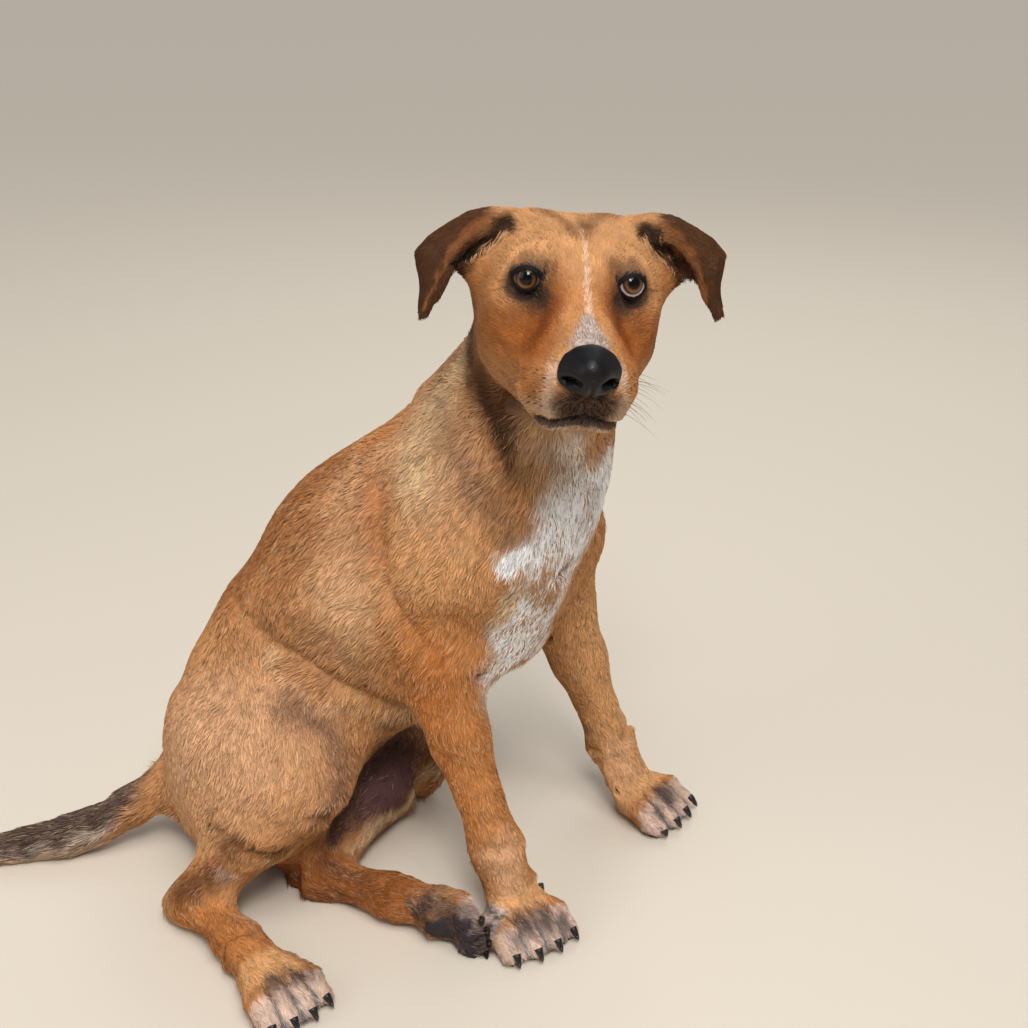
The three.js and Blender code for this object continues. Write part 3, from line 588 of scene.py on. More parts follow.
# Strokes on the body, in its frame. Those on its right side have mirror images on the left, about a
# plane 20 mm left of the frame's origin.
TWIN_SHIFT = np.array([0, 40, 0])
BODY_SIDES = [
    (FAWN, 0.5, 0.7, [(-100, -20, 325), (-112, -30, 300), (-118, -52, 250)], (26, 30)),
    (BROWN, 0.85, 0.8, [(-120, 10, 318), (-165, 8, 270), (-205, 20, 216)], (13, 19)),
    (BROWN, 0.5, 0.8, [(-140, -20, 275), (-158, -24, 250), (-178, -24, 226)], (20, 16)),
    # Painted shade along the crease behind the shoulder, on the line of the first flank fold.
    (RUST, 0.5, 0.8, [(-88, 10, 336), (-91, -38, 303), (-85, -64, 260), (-73, -74, 220)], (9, 8)),
    (BUFF, 0.35, 0.9, (-110, -58, 230), (30, 30, 36)),
    # Painted shade above the fold where the thigh meets the flank.
    (UMBER, 0.42, 0.9, [(-174, -30, 214), (-150, -42, 208), (-126, -52, 207), (-80, -60, 184)], 14),
    (FAWN, 0.85, 0.6, (-200, -76, 142), (62, 50, 60)),
    (FAWN, 0.6, 0.6, (-232, -36, 110), (36, 40, 60)),
    # Painted shade in the fold where the thigh meets the flank.
    (UMBER, 0.4, 0.9, [(-186, -28, 206), (-148, -46, 194), (-116, -56, 176), (-76, -48, 158)], (3, 6)),
    (BUFF, 0.5, 0.9, [(-172, -42, 190), (-139, -56, 168), (-106, -60, 155), (-80, -52, 148)], (4, 4)),
    (LIGHT_TAN, 0.75, 0.8, (-50, -86, 270), (38, 30, 46)),
    # Painted shade in the crease along the back of the upper arm, on the line of the cut fold.
    (UMBER, 0.5, 0.8, [(-79, -70, 246), (-59, -77, 216), (-49, -80, 204)], 4),
    (UMBER, 0.5, 0.9, [(-14, -84, 236), (-11, -79, 216)], 6),
]
# Those on the right side only.
BODY_RIGHT = [
    # Painted shade along the front edge of the right thigh.
    (DUN, 0.75, 0.9, [(-152, -68, 166), (-130, -70, 152), (-118, -78, 128), (-130, -94, 98)], (12, 11)),
    (FAWN, 0.9, 0.7, (-50, -62, 356), (40, 46, 50)),
    (BUFF, 0.9, 0.9, [(-33, -69, 410), (-53, -57, 367), (-60, -58, 330)], (14, 20)),
    (SLATE, 0.35, 0.9, [(-40, -62, 384), (-27, -86, 346), (-4, -98, 316), (10, -102, 292)], (8, 9)),
    # Dark brown hair under the jaw and on the throat, darkened further by painted shade where the head
    # shades them.
    (DARK, 0.97, 0.7, [(-34, -70, 440), (-16, -100, 412), (-6, -104, 384), (2, -101, 352)], (19, 11)),
    (DARK, 0.75, 0.6, [(10, -118, 402), (40, -126, 400), (66, -104, 400)], 16),
    (TAN, 0.5, 0.7, (14, -100, 340), (16, 16, 26)),
]
CHEST = [
    (BUFF, 0.6, 0.8, [(26, -108, 384), (36, -104, 356), (46, -92, 330)], (18, 22)),
    (GREY, 0.45, 0.9, [(20, -106, 372), (30, -103, 350), (36, -96, 322)], (9, 9)),
    (WHITE, 0.5, 0.9, [(34, -106, 376), (44, -96, 346)], (7, 14)),
    (WHITE, 0.97, 0.35, [(48, -84, 326), (38, -88, 296), (24, -86, 258), (4, -66, 210), (-10, -50, 178)],
     (30, 23)),
    (WHITE, 0.95, 0.45, [(26, -92, 292), (-8, -104, 291)], (17, 6)),
    (BUFF, 0.85, 0.5, [(1, -97, 264), (-9, -90, 241)], (8, 7)),
    (GREY, 0.3, 0.9, [(44, -96, 348), (52, -80, 320), (42, -84, 300)], 6),
]
BELLY = [
    (DUSKY, 0.92, 0.5, (-100, 10, 76), (46, 46, 50)),
    (MAUVE, 0.85, 0.5, [(-84, 14, 50), (-112, -10, 42), (-136, -40, 34)], (17, 10)),
    (BUFF, 0.8, 0.6, [(-60, 42, 42), (-82, 16, 27), (-102, -16, 28), (-126, -44, 26)], (8, 6)),
    (SLATE, 0.6, 0.8, [(-60, -40, 140), (-92, -44, 142)], 9),
]
LEGS = [
    (ORANGE, 0.68, 0.7, [(-50, -74, 214), (-40, -80, 165), (-22, -90, 100), (-12, -90, 50)], (32, 26)),
    (RUST, 0.5, 0.8, [(-54, -76, 210), (-50, -76, 150), (-34, -74, 90)], (12, 7)),
    (LIGHT_TAN, 0.5, 0.8, [(-30, -98, 190), (-10, -100, 110), (0, -104, 60)], (9, 12)),
    (LIGHT_TAN, 0.75, 0.7, [(48, 26, 180), (62, 38, 120), (80, 56, 60)], 30),
    (BROWN, 0.5, 0.8, [(34, 30, 190), (44, 40, 130), (62, 56, 70)], (9, 8)),
    (FAWN, 0.9, 0.8, [(-10, -96, 66), (-2, -106, 46), (3, -112, 30)], (12, 17)),
    (FAWN, 0.7, 0.8, [(80, 42, 60), (92, 36, 34)], (12, 16)),
    (BROWN, 0.85, 0.6, [(-228, -102, 38), (-218, -109, 52), (-200, -110, 62)], (15, 12)),
    (DARK, 0.55, 0.9, [(-230, -104, 34), (-219, -109, 46), (-200, -111, 56)], (11, 8)),
    (PALE, 0.4, 0.8, [(-204, -112, 58), (-188, -116, 52), (-186, -130, 36)], (6, 7)),
    # Painted shade in the fold cut low on the right hind leg.
    (UMBER, 0.85, 0.8, [(-210, -96, 84), (-184, -108, 76), (-150, -100, 70)], (6, 6)),
    (ORANGE, 0.85, 0.5, [(-222, -114, 18), (-203, -134, 26), (-170, -164, 22)], 17),
    (RUST, 0.75, 0.6, [(-166, -56, 18), (-140, -66, 24), (-100, -90, 26), (-70, -106, 28)], (20, 15)),
    (DARK, 0.7, 0.8, [(-170, -56, 10), (-150, -62, 14), (-120, -78, 14)], (9, 6)),
    (UMBER, 0.5, 0.9, [(-140, -68, 24), (-117, -82, 29), (-87, -101, 35)], 10),
    (SLATE, 0.5, 0.9, [(-137, -67, 35), (-112, -80, 38)], 7),
    (SLATE, 0.85, 0.6, (-68, -114, 32), (11, 10, 10)),
]


def tail_markings(colours, b):
    """Black hair with grey and white streaks on top of the tail, and grey below."""
    line = spline(TAIL_LIE, 6)[0]
    x = np.clip(-b[:, 0], 240, 570)
    height = b[:, 2] - np.interp(x, -line[:, 0], line[:, 2])
    on_tail = smoothstep(278, 306, 1.2 * np.clip(height, -14, 14) - b[:, 0])
    streaks = ripple(b * np.array([0.25, 1, 1]), 5, 45)
    ground = painted(np.tile(GREY, (len(b), 1)), CREAM, smoothstep(-0.4, 0.6, streaks), 0.75)
    ground = painted(ground, BUFF, smoothstep(2, 10, -height), 0.4)
    top = smoothstep(-3, 5, height + 3 * streaks)
    ground = painted(ground, CHARCOAL, top, 0.9)
    return colours + (ground - colours) * (0.92 * on_tail)[:, None]


def body_markings(colours, b):
    """Paints points on the body, given in its frame."""
    rough = ripple(b, 30, 3)
    fine = ripple(b, 9, 4)
    b = b + np.stack([rough, fine, rough], 1) * 3.5
    colours = strokes(colours, b, BODY_SIDES, b * MIRROR + TWIN_SHIFT)
    for table in (BODY_RIGHT, CHEST, BELLY, LEGS):
        colours = strokes(colours, b, table)
    return tail_markings(colours, b)


# Patches on the paws: the colour, its strength, the middle and the radii.
PAW_PATCHES = {
    "fore_right": [(SLATE, 0.95, (16, -8, 6), (11, 5, 10)), (SLATE, 0.9, (18, 7, 5), (12, 5.5, 10)),
                   (SLATE, 0.8, (23, 20, 0), (10, 5, 9)), (SLATE, 0.6, (20, -21, 0), (8, 4, 8))],
    "fore_left": [(SLATE, 0.9, (16, 1, 6), (12, 9, 9)), (SLATE, 0.65, (21, -16, 2), (9, 5, 8))],
    "hind_right": [(SLATE, 0.9, (8, -6, 8), (8, 5, 8)), (SLATE, 0.8, (10, 8, 7), (9, 5, 8)),
                   (SLATE, 0.6, (12, 18, 4), (8, 4, 8))],
    "hind_left": [(SLATE, 0.9, (-6, 0, 0), (16, 18, 14)), (SLATE, 0.85, (16, 0, -8), (30, 30, 9))],
}


def paw_markings(colours, points):
    """White and pink toes with slate between them."""
    for paw, local in PAW_FRAMES.items():
        place = inside(local, points)
        spacing = PAW_STANDS[paw][3]
        near = (place[:, 0] > -26) & (place[:, 0] < 40) & (np.abs(place[:, 1]) < 2.3 * spacing)
        chosen = np.flatnonzero(near & (np.abs(place[:, 2]) < 20))
        p = place[chosen]
        p = p + np.stack([ripple(p, 9, 31), ripple(p, 6, 32), ripple(p, 9, 33)], 1) * 1.3
        c = colours[chosen]
        spread = p[:, 1] / (spacing * (0.9 + 0.006 * np.clip(p[:, 0], 0, 36)))
        gap = np.exp(-(((spread - np.round(spread)) / 0.17) ** 2)) * (np.abs(spread) < 1.5)
        c = painted(c, LIGHT_TAN, blob(p, (-6, 0, 12), (22, 26, 18), 0.6))
        c = painted(c, ORANGE, smoothstep(0, 8, p[:, 0]), 0.35)
        c = painted(c, PALE, smoothstep(9, 17, p[:, 0]), 0.85)
        c = painted(c, WHITE, smoothstep(15, 24, p[:, 0]) * smoothstep(0.2, 0.7, gap), 0.5)
        for colour, strength, middle, radii in PAW_PATCHES[paw]:
            c = painted(c, colour, blob(p, middle, radii, 0.6), strength)
        c = painted(c, SLATE, gap * smoothstep(3, 9, p[:, 0]), 0.85)
        c = painted(c, PAD, pads_cover(p, paw))
        edge = (1 - smoothstep(34, 40, place[chosen, 0])) * smoothstep(-26, -12, place[chosen, 0])
        colours[chosen] += (c - colours[chosen]) * edge[:, None]
    return colours


def markings(points):
    """The colour of the coat at points of the frame."""
    colours = np.tile(TAN, (len(points), 1))
    h = inside(HEAD, points)
    b = inside(BODY, points)
    colours = paw_markings(body_markings(colours, b), points)
    at_head = smoothstep(-90, -60, h[:, 0]) * smoothstep(-100, -74, h[:, 2])
    chosen = np.flatnonzero(at_head > 0)
    h = h[chosen]
    face = muzzle_markings(head_markings(colours[chosen], h), h)
    ears = smoothstep(34, 44, np.abs(h[:, 1]) + 0.5 * h[:, 2]) * (h[:, 0] < -20)
    ears *= smoothstep(0.35, 0.8, on_ears(h))
    face += (ear_markings(face, h) - face) * ears[:, None]
    for side in SIDES:
        eye = inside(lid_frame(side), points[chosen])
        near = 1 - smoothstep(13.5, 17, np.linalg.norm(eye, axis=1))
        out = beyond_lid(eye)
        rim = near * (1 - smoothstep(1.5, 2.8, out))
        reach = np.where(eye[:, 2] > 0, 5.4, 9.0)
        face = painted(face, CHARCOAL, near * (1 - smoothstep(0.25 * reach, reach, out)), 0.9)
        face = painted(face, BLACK, rim)
    colours[chosen] += (face - colours[chosen]) * at_head[chosen, None]
    tone = 1 + 0.08 * ripple(points, 0.012, 11) + 0.05 * ripple(points, 0.05, 12)
    return np.clip(colours * tone[:, None], 0, 1)


def on_ears(h):
    """1 on the flaps of the ears and in their hollows, 0 on the skull beside them."""
    out = np.abs(h[:, 1])
    flap = smoothstep(56, 61, out)
    root = smoothstep(30, 40, out) * smoothstep(8, 20, h[:, 2] + 0.35 * (out - 36))
    hollow = two_sided(stripe, h, EAR_CAVITY, 10)
    return np.maximum(np.maximum(flap, root), hollow)


# ---------------------------------------------------------------- sculpting
EYEBALL_RADIUS = 10.1
EYE_OPENING = (7.3, 4.6, 5.6)  # half its width, and its height above and below the middle
OPENING_RADIUS = 10.2  # of the ball on which the opening is measured
LID_RADIUS = 10.65
HIDDEN_RADIUS = 8.4  # of the skin where the lids are open, inside the eyeball
SOCKET_FILLER = 0.0125  # metres, the radius of the ball that closes a socket under the lids


def gaze_frame(side, forward):
    """A frame in an eye, which looks forward along the given way of the head's frame."""
    ahead = HEAD.to_3x3() @ Vector(forward)
    return basis(centre("eye_" + side), ahead, HEAD.to_3x3() @ Vector((0, 0, 1)))


def lid_frame(side):
    return gaze_frame(side, (1, SIDES[side] * 0.24, 0.1))


def beyond_lid(eye):
    """How far points near an eye, in its own frame, lie outside the opening of the lids."""
    reach = np.maximum(np.linalg.norm(eye, axis=1), 1e-6)
    y = OPENING_RADIUS * eye[:, 1] / reach
    z = OPENING_RADIUS * eye[:, 2] / reach
    half, above, below = EYE_OPENING
    height = np.where(z > 0, above, below)
    out = (np.abs(y / half) ** 2 + np.abs(z / height) ** 1.4) ** 0.6
    return np.where(eye[:, 0] > 0, (out - 1) * height, 20)


def shape_lids(points):
    """Lays the skin over the eyeballs as lids, and inside them where the lids are open."""
    for side in SIDES:
        local = lid_frame(side)
        eye = inside(local, points)
        reach = np.linalg.norm(eye, axis=1)
        near = (reach < 22) & (eye[:, 0] > -2)
        out = beyond_lid(eye)
        lid = LID_RADIUS + 0.3 * np.exp(-(((out - 1.0) / 0.8) ** 2))
        covering = 1 - smoothstep(2.2, 6.5, out)
        goal = np.where(out > 0, np.maximum(lid, reach * (1 - covering) + lid * covering), HIDDEN_RADIUS)
        goal = np.where(out > 6.5, np.maximum(reach, LID_RADIUS), goal)
        eye[near] *= (goal / np.maximum(reach, 1e-6))[near, None]
        points[near] = outside(local, eye[near])
    return points


# Folds and clefts: the frame and the axis they are seen along, if they reach the surface wherever that
# lies, then the line, its width and its depth in millimetres.
FROM_FRONT = (HEAD, 0, 1)
FROM_SIDE = (BODY, 1, -1)
FLANK_FOLDS = [
    ([(-92, 0, 312), (-90, 0, 290), (-85, 0, 260), (-73, 0, 219)], 7, 3.5),
    ([(-79, 0, 246), (-59, 0, 216), (-49, 0, 205)], 5, 2.5),
    ([(-196, 0, 208), (-148, 0, 192), (-116, 0, 174), (-76, 0, 155)], 6, 4.5),
    ([(-206, 0, 84), (-180, 0, 75), (-150, 0, 70)], 5, 2.5),
    ([(-216, 0, 64), (-215, 0, 50), (-208, 0, 38)], 3.5, 1.8),
    ([(-22, 0, 300), (-34, 0, 250), (-30, 0, 214)], 9, 1.8),
]
UNDER_EYE = [(0, 15, -14), (0, 24, -18), (0, 32, -16)]
FLEW_EDGE = [(0, 27, -50), (0, 34, -44), (0, 40, -36)]
FACE_FOLDS = [(MOUTH_LINE, 1.3, 2.4), (EAR_CAVITY, 4.5, 5.0), (UNDER_EYE, 3.5, 0.7), (FLEW_EDGE, 4.0, 1.0)]


def all_folds():
    """The folds of the flank and the face, the clefts of lip and brow, and those between the toes."""
    folds = [(FROM_SIDE, *fold) for fold in FLANK_FOLDS]
    for side in SIDES.values():
        for path, width, depth in FACE_FOLDS:
            folds.append((FROM_FRONT, on_side(path, side), width, depth))
    folds.append((FROM_FRONT, [(0, 0, -40), (0, 0, -52)], 1.1, 1.5))
    folds.append(((HEAD, None, 1), [(10, 0, 6), (-14, 0, 20), (-40, 0, 30)], 4.5, 1.0))
    for paw, (_, _, _, spacing) in PAW_STANDS.items():
        for y in (-spacing, 0, spacing):
            path = [(2, 0.85 * y, 10), (16, y, 8), (30, 1.1 * y, 0), (37, 1.15 * y, -8)]
            folds.append(((PAW_FRAMES[paw], None, 1), path, 2.3, 3.4))
    return folds


def toe_places(paw):
    """How far ahead and to the left each of a paw's four toes ends."""
    spacing = PAW_STANDS[paw][3]
    return [(27 * (1.12 - 0.13 * abs(a)), a * spacing) for a in (-1.5, -0.5, 0.5, 1.5)]


def toe_fillers():
    """Three balls along each toe, from its root to its end."""
    balls = []
    for paw in PAWS:
        radius = 10.6 if paw.startswith("fore") else 10.2
        for reach, y in toe_places(paw):
            for where, size in (((0.42 * reach, y, 1.5), 1), ((0.72 * reach, 1.06 * y, -2.5), 0.93),
                                ((reach, 1.12 * y, -7), 0.86)):
                balls.append((PAW_FRAMES[paw] @ Vector(where), radius * size * MM))
    return balls


TAIL_HOLLOW = (-253, -3, 70)  # between the tail's root and the rump, in the body's frame
TAIL_HOLLOW_RADIUS = 11


def tail_fillers():
    """A ball at each joint of the tail, as thick as the tail, and one in the hollow over its root."""
    balls = [(BODY @ Vector(TAIL_HOLLOW), TAIL_HOLLOW_RADIUS * MM)]
    for near, far in (("tail_root", "tail_middle"), ("tail_middle", "tail_tip")):
        pair = [inside(BODY, positions(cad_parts[node].data)) for node in (near, far)]
        joint = (pair[0][:, 0].min() + pair[1][:, 0].max()) / 2
        both = np.vstack(pair)
        ring = both[np.abs(both[:, 0] - joint) < 7]
        radius = 0.51 * np.ptp(ring[:, 1:], axis=0).mean()
        balls.append((BODY @ Vector((ring.min(0) + ring.max(0)) / 2), radius * MM))
    return balls


def pads_cover(p, paw, soft=0.2):
    """1 on the pads under a paw, given points in its frame."""
    spacing = PAW_STANDS[paw][3]
    cover = blob(p, (1, 0, -15), (11.5, 1.1 * spacing, 10), soft)
    for reach, y in toe_places(paw):
        pad = blob(p, (0.86 * reach, 1.12 * y, -14), (9, 0.53 * spacing, 10), soft)
        cover = np.maximum(cover, pad)
    return cover * (1 - smoothstep(-7, -4, p[:, 2]))


def shape_pads(points, surface_normals):
    """Raises the pads, cuts a groove round each and flattens them on the floor."""
    for paw, local in PAW_FRAMES.items():
        p = inside(local, points)
        chosen = near_box(p, np.array([-16, -26, -26]), np.array([40, 26, -2]), 0)
        cover = pads_cover(p[chosen], paw, 0.35)
        raised = 1.1 * cover - 5.0 * cover * (1 - cover)
        points[chosen] += surface_normals[chosen] * (raised * MM)[:, None]
    points[:, 2] = np.maximum(points[:, 2], 0)
    return points


def shape_folds(points, surface_normals, folds):
    """Cuts folds into a surface, each as deep as it is given."""
    for (local, axis, sign), path, width, depth in folds:
        seen = inside(local, points)
        line = spline(path, 5)[0]
        facing = np.ones(len(points), bool)
        if axis is not None:
            facing = surface_normals @ np.array(local)[:3, axis] * sign > 0.1 * MM
            seen[:, axis] = 0
            line[:, axis] = 0
        chosen = near_box(seen, line.min(0), line.max(0), 3 * width)
        chosen = chosen[facing[chosen]]
        d, _ = distance_to_line(seen[chosen], line)
        points[chosen] -= surface_normals[chosen] * (depth * MM * np.exp(-((d / width) ** 2)))[:, None]
    return points


def bareness(points):
    """1 where no hair grows: the lips, round the nose, the rims of the lids and the pads, and 0.9 on the
    belly.
    """
    h = inside(HEAD, points)
    bare = np.zeros(len(points))
    at_muzzle = (h[:, 0] > -10) & (h[:, 2] < -40)
    lips = two_sided(stripe, h * FLAT_FRONT, MOUTH_FROM_FRONT, 1.7, 0.4)
    bare = np.maximum(bare, lips * at_muzzle)
    bare = np.maximum(bare, blob(h, (64, 0, -27), (14, 18.2, 15.5), 0.1))
    for side in SIDES:
        eye = inside(lid_frame(side), points)
        near = 1 - smoothstep(1.3, 2.3, beyond_lid(eye))
        bare = np.maximum(bare, near * (np.linalg.norm(eye, axis=1) < 15))
    for paw, local in PAW_FRAMES.items():
        bare = np.maximum(bare, pads_cover(inside(local, points), paw))
    b = inside(BODY, points)
    belly = blob(b, (-100, 10, 70), (42, 36, 44), 0.3)
    return np.maximum(bare, 0.9 * belly)


# ---------------------------------------------------------------- settings
class SkinSettings(bpy.types.PropertyGroup):
    """Measures of the skin."""

    voxel: FloatProperty(
        name="Grid", description="Size of the squares of the first skin", default=0.0019,
        min=0.001, unit="LENGTH")
    faces: IntProperty(
        name="Faces", description="Triangles that the skin keeps", default=165000)


class CoatSettings(bpy.types.PropertyGroup):
    """Measures of the coat."""

    density: FloatProperty(
        name="Density", description="Share of the usual number of tufts", default=1.0, min=0.05)
    length: FloatProperty(
        name="Length", description="Share of the usual length of the hair", default=1.0, min=0.2)
    clumping: FloatProperty(
        name="Clumping", description="How far the tips of neighbours draw together", default=0.35,
        subtype="FACTOR")


class StageSettings(bpy.types.PropertyGroup):
    """The floor and the light."""

    floor_colour: FloatVectorProperty(
        name="Floor", description="Colour of the floor", default=(0.70, 0.62, 0.51), subtype="COLOR")
    light: FloatProperty(
        name="Light", description="Power of the main light", default=24.0, subtype="POWER")
    sky: FloatProperty(
        name="Sky", description="Strength of the wide light from above", default=1.55, min=0)


# ---------------------------------------------------------------- materials
def new_material(name):
    """A material, its nodes, its links and its shader."""
    material = bpy.data.materials.new(name)
    material.use_nodes = True
    nodes = material.node_tree.nodes
    return material, nodes, material.node_tree.links, nodes["Principled BSDF"]


def add(nodes, kind, **settings):
    """A new node whose inputs or own settings have the given values."""
    node = nodes.new(kind)
    for key, value in settings.items():
        if key in node.inputs:
            node.inputs[key].default_value = value
        else:
            setattr(node, key, value)
    return node


def remapped(nodes, links, value, to_range, from_range=(0, 1)):
    """A socket's value carried from one range to another."""
    node = add(nodes, "ShaderNodeMapRange")
    for name, (low, high) in (("From", from_range), ("To", to_range)):
        node.inputs[name + " Min"].default_value = low
        node.inputs[name + " Max"].default_value = high
    links.new(value, node.inputs["Value"])
    return node.outputs["Result"]


def scaled(nodes, links, vector, factor):
    """A colour or place times a factor, which is a number or a socket."""
    node = add(nodes, "ShaderNodeVectorMath", operation="SCALE")
    links.new(vector, node.inputs[0])
    if isinstance(factor, (int, float)):
        node.inputs["Scale"].default_value = factor
    else:
        links.new(factor, node.inputs["Scale"])
    return node.outputs["Vector"]


def bumped(nodes, links, shader, height, strength, distance):
    """Gives a shader small bumps of the given height."""
    bump = add(nodes, "ShaderNodeBump", Strength=strength, Distance=distance)
    links.new(height, bump.inputs["Height"])
    links.new(bump.outputs["Normal"], shader.inputs["Normal"])


def streaks_group():
    """A node group that makes a painted colour lighter and darker in fine streaks."""
    if "streaks" in bpy.data.node_groups:
        return bpy.data.node_groups["streaks"]
    group = bpy.data.node_groups.new("streaks", "ShaderNodeTree")
    for name, kind in (("Colour", "NodeSocketColor"), ("Place", "NodeSocketVector")):
        group.interface.new_socket(name=name, in_out="INPUT", socket_type=kind)
    for name, kind in (("Colour", "NodeSocketColor"), ("Height", "NodeSocketFloat")):
        group.interface.new_socket(name=name, in_out="OUTPUT", socket_type=kind)
    nodes, links = group.nodes, group.links
    given = nodes.new("NodeGroupInput")
    made = nodes.new("NodeGroupOutput")
    noise = add(nodes, "ShaderNodeTexNoise", Scale=1.0, Detail=3.0)
    links.new(given.outputs["Place"], noise.inputs["Vector"])
    shade = remapped(nodes, links, noise.outputs["Fac"], (0.78, 1.16), (0.3, 0.7))
    links.new(scaled(nodes, links, given.outputs["Colour"], shade), made.inputs["Colour"])
    links.new(noise.outputs["Fac"], made.inputs["Height"])
    return group


def streaked(nodes, links, shader, place):
    """Gives a shader the painted marking, streaked by noise at the given place."""
    paint = add(nodes, "ShaderNodeAttribute", attribute_name="marking")
    streaks = nodes.new("ShaderNodeGroup")
    streaks.node_tree = streaks_group()
    links.new(paint.outputs["Color"], streaks.inputs["Colour"])
    links.new(place, streaks.inputs["Place"])
    links.new(streaks.outputs["Colour"], shader.inputs["Base Color"])
    return streaks


def skin_material():
    material, nodes, links, shader = new_material("skin")
    shader.inputs["Roughness"].default_value = 0.62
    shader.inputs["Specular IOR Level"].default_value = 0.12
    where = add(nodes, "ShaderNodeTexCoord")
    streaks = streaked(nodes, links, shader, scaled(nodes, links, where.outputs["Object"], 1100))
    bumped(nodes, links, shader, streaks.outputs["Height"], 0.5, 0.0005)
    return material


def coat_material():
    material, nodes, links, shader = new_material("coat")
    shader.inputs["Roughness"].default_value = 0.6
    shader.inputs["Specular IOR Level"].default_value = 0.1
    own = add(nodes, "ShaderNodeUVMap", uv_map="Strand")
    fine = add(nodes, "ShaderNodeVectorMath", operation="MULTIPLY")
    fine.inputs[1].default_value = (7, 1.3, 1)
    links.new(own.outputs["UV"], fine.inputs[0])
    streaked(nodes, links, shader, fine.outputs["Vector"])
    return material


def nose_material():
    material, nodes, links, shader = new_material("nose leather")
    shader.inputs["Base Color"].default_value = (0.006, 0.005, 0.006, 1)
    shader.inputs["Specular IOR Level"].default_value = 0.18
    shader.inputs["Coat Weight"].default_value = 0.1
    shader.inputs["Coat Roughness"].default_value = 0.25
    pebbles = add(nodes, "ShaderNodeTexVoronoi", Scale=1200.0)
    where = add(nodes, "ShaderNodeTexCoord")
    links.new(where.outputs["Object"], pebbles.inputs["Vector"])
    bumped(nodes, links, shader, pebbles.outputs["Distance"], 0.3, 0.0004)
    rough = remapped(nodes, links, pebbles.outputs["Distance"], (0.3, 0.5))
    links.new(rough, shader.inputs["Roughness"])
    return material


def eye_material(side):
    """Rings of pupil, iris and white round the gaze, with rays, and the shadow of the upper lid."""
    material, nodes, links, shader = new_material("eye_" + side)
    gaze = add(nodes, "ShaderNodeAttribute", attribute_name="gaze")
    parts = add(nodes, "ShaderNodeSeparateXYZ")
    links.new(gaze.outputs["Vector"], parts.inputs["Vector"])
    share = add(nodes, "ShaderNodeMath", operation="DIVIDE")
    share.inputs[1].default_value = RINGS_END
    links.new(parts.outputs["X"], share.inputs[0])
    rings = add(nodes, "ShaderNodeValToRGB")
    stops = [
        (0.0, (0.002, 0.002, 0.002)), (PUPIL_RADIUS / RINGS_END - 0.01, (0.003, 0.002, 0.002)),
        (PUPIL_RADIUS / RINGS_END + 0.03, (0.075, 0.028, 0.01)), (0.44, (0.20, 0.085, 0.028)),
        (0.53, (0.10, 0.035, 0.011)), (IRIS_RADIUS / RINGS_END - 0.02, (0.006, 0.004, 0.003)),
        (IRIS_RADIUS / RINGS_END + 0.04, EYE_WHITE[side]), (0.92, (0.2, 0.12, 0.11)),
    ]
    ramp = rings.color_ramp
    while len(ramp.elements) < len(stops):
        ramp.elements.new(0.5)
    for element, (at, colour) in zip(ramp.elements, stops):
        element.position = at
        element.color = (*colour, 1)
    links.new(share.outputs[0], rings.inputs["Fac"])
    rays = add(nodes, "ShaderNodeTexNoise", Scale=1.6, Detail=3.0)
    links.new(gaze.outputs["Vector"], rays.inputs["Vector"])
    shade = remapped(nodes, links, rays.outputs["Fac"], (0.65, 1.35))
    mixed = scaled(nodes, links, rings.outputs["Color"], shade)
    shadow = remapped(nodes, links, parts.outputs["Z"], (1.2, 0.12), (-4.0, 3.0))
    links.new(scaled(nodes, links, mixed, shadow), shader.inputs["Base Color"])
    shader.inputs["Roughness"].default_value = 0.1
    shader.inputs["Specular IOR Level"].default_value = 0.04
    shader.inputs["Coat Weight"].default_value = 0.5
    shader.inputs["Coat Roughness"].default_value = 0.02
    return material


def claw_material():
    material, nodes, links, shader = new_material("claw horn")
    grain = add(nodes, "ShaderNodeTexNoise", Scale=500.0)
    where = add(nodes, "ShaderNodeTexCoord")
    links.new(where.outputs["Object"], grain.inputs["Vector"])
    ramp = add(nodes, "ShaderNodeValToRGB")
    ramp.color_ramp.elements[0].color = (0.005, 0.004, 0.004, 1)
    ramp.color_ramp.elements[1].color = (0.02, 0.016, 0.014, 1)
    links.new(grain.outputs["Fac"], ramp.inputs["Fac"])
    links.new(ramp.outputs["Color"], shader.inputs["Base Color"])
    shader.inputs["Roughness"].default_value = 0.25
    return material


# ---------------------------------------------------------------- operators
MOST_SHARE = 0.6  # of the way to its neighbours' mean that a point goes in one round
FINE_AT_EYES = 0.0165  # metres round the eyes where the skin's net is finer
FINE_PARTS = ("head", "jaw", "ear", "fore_paw", "hind_paw")


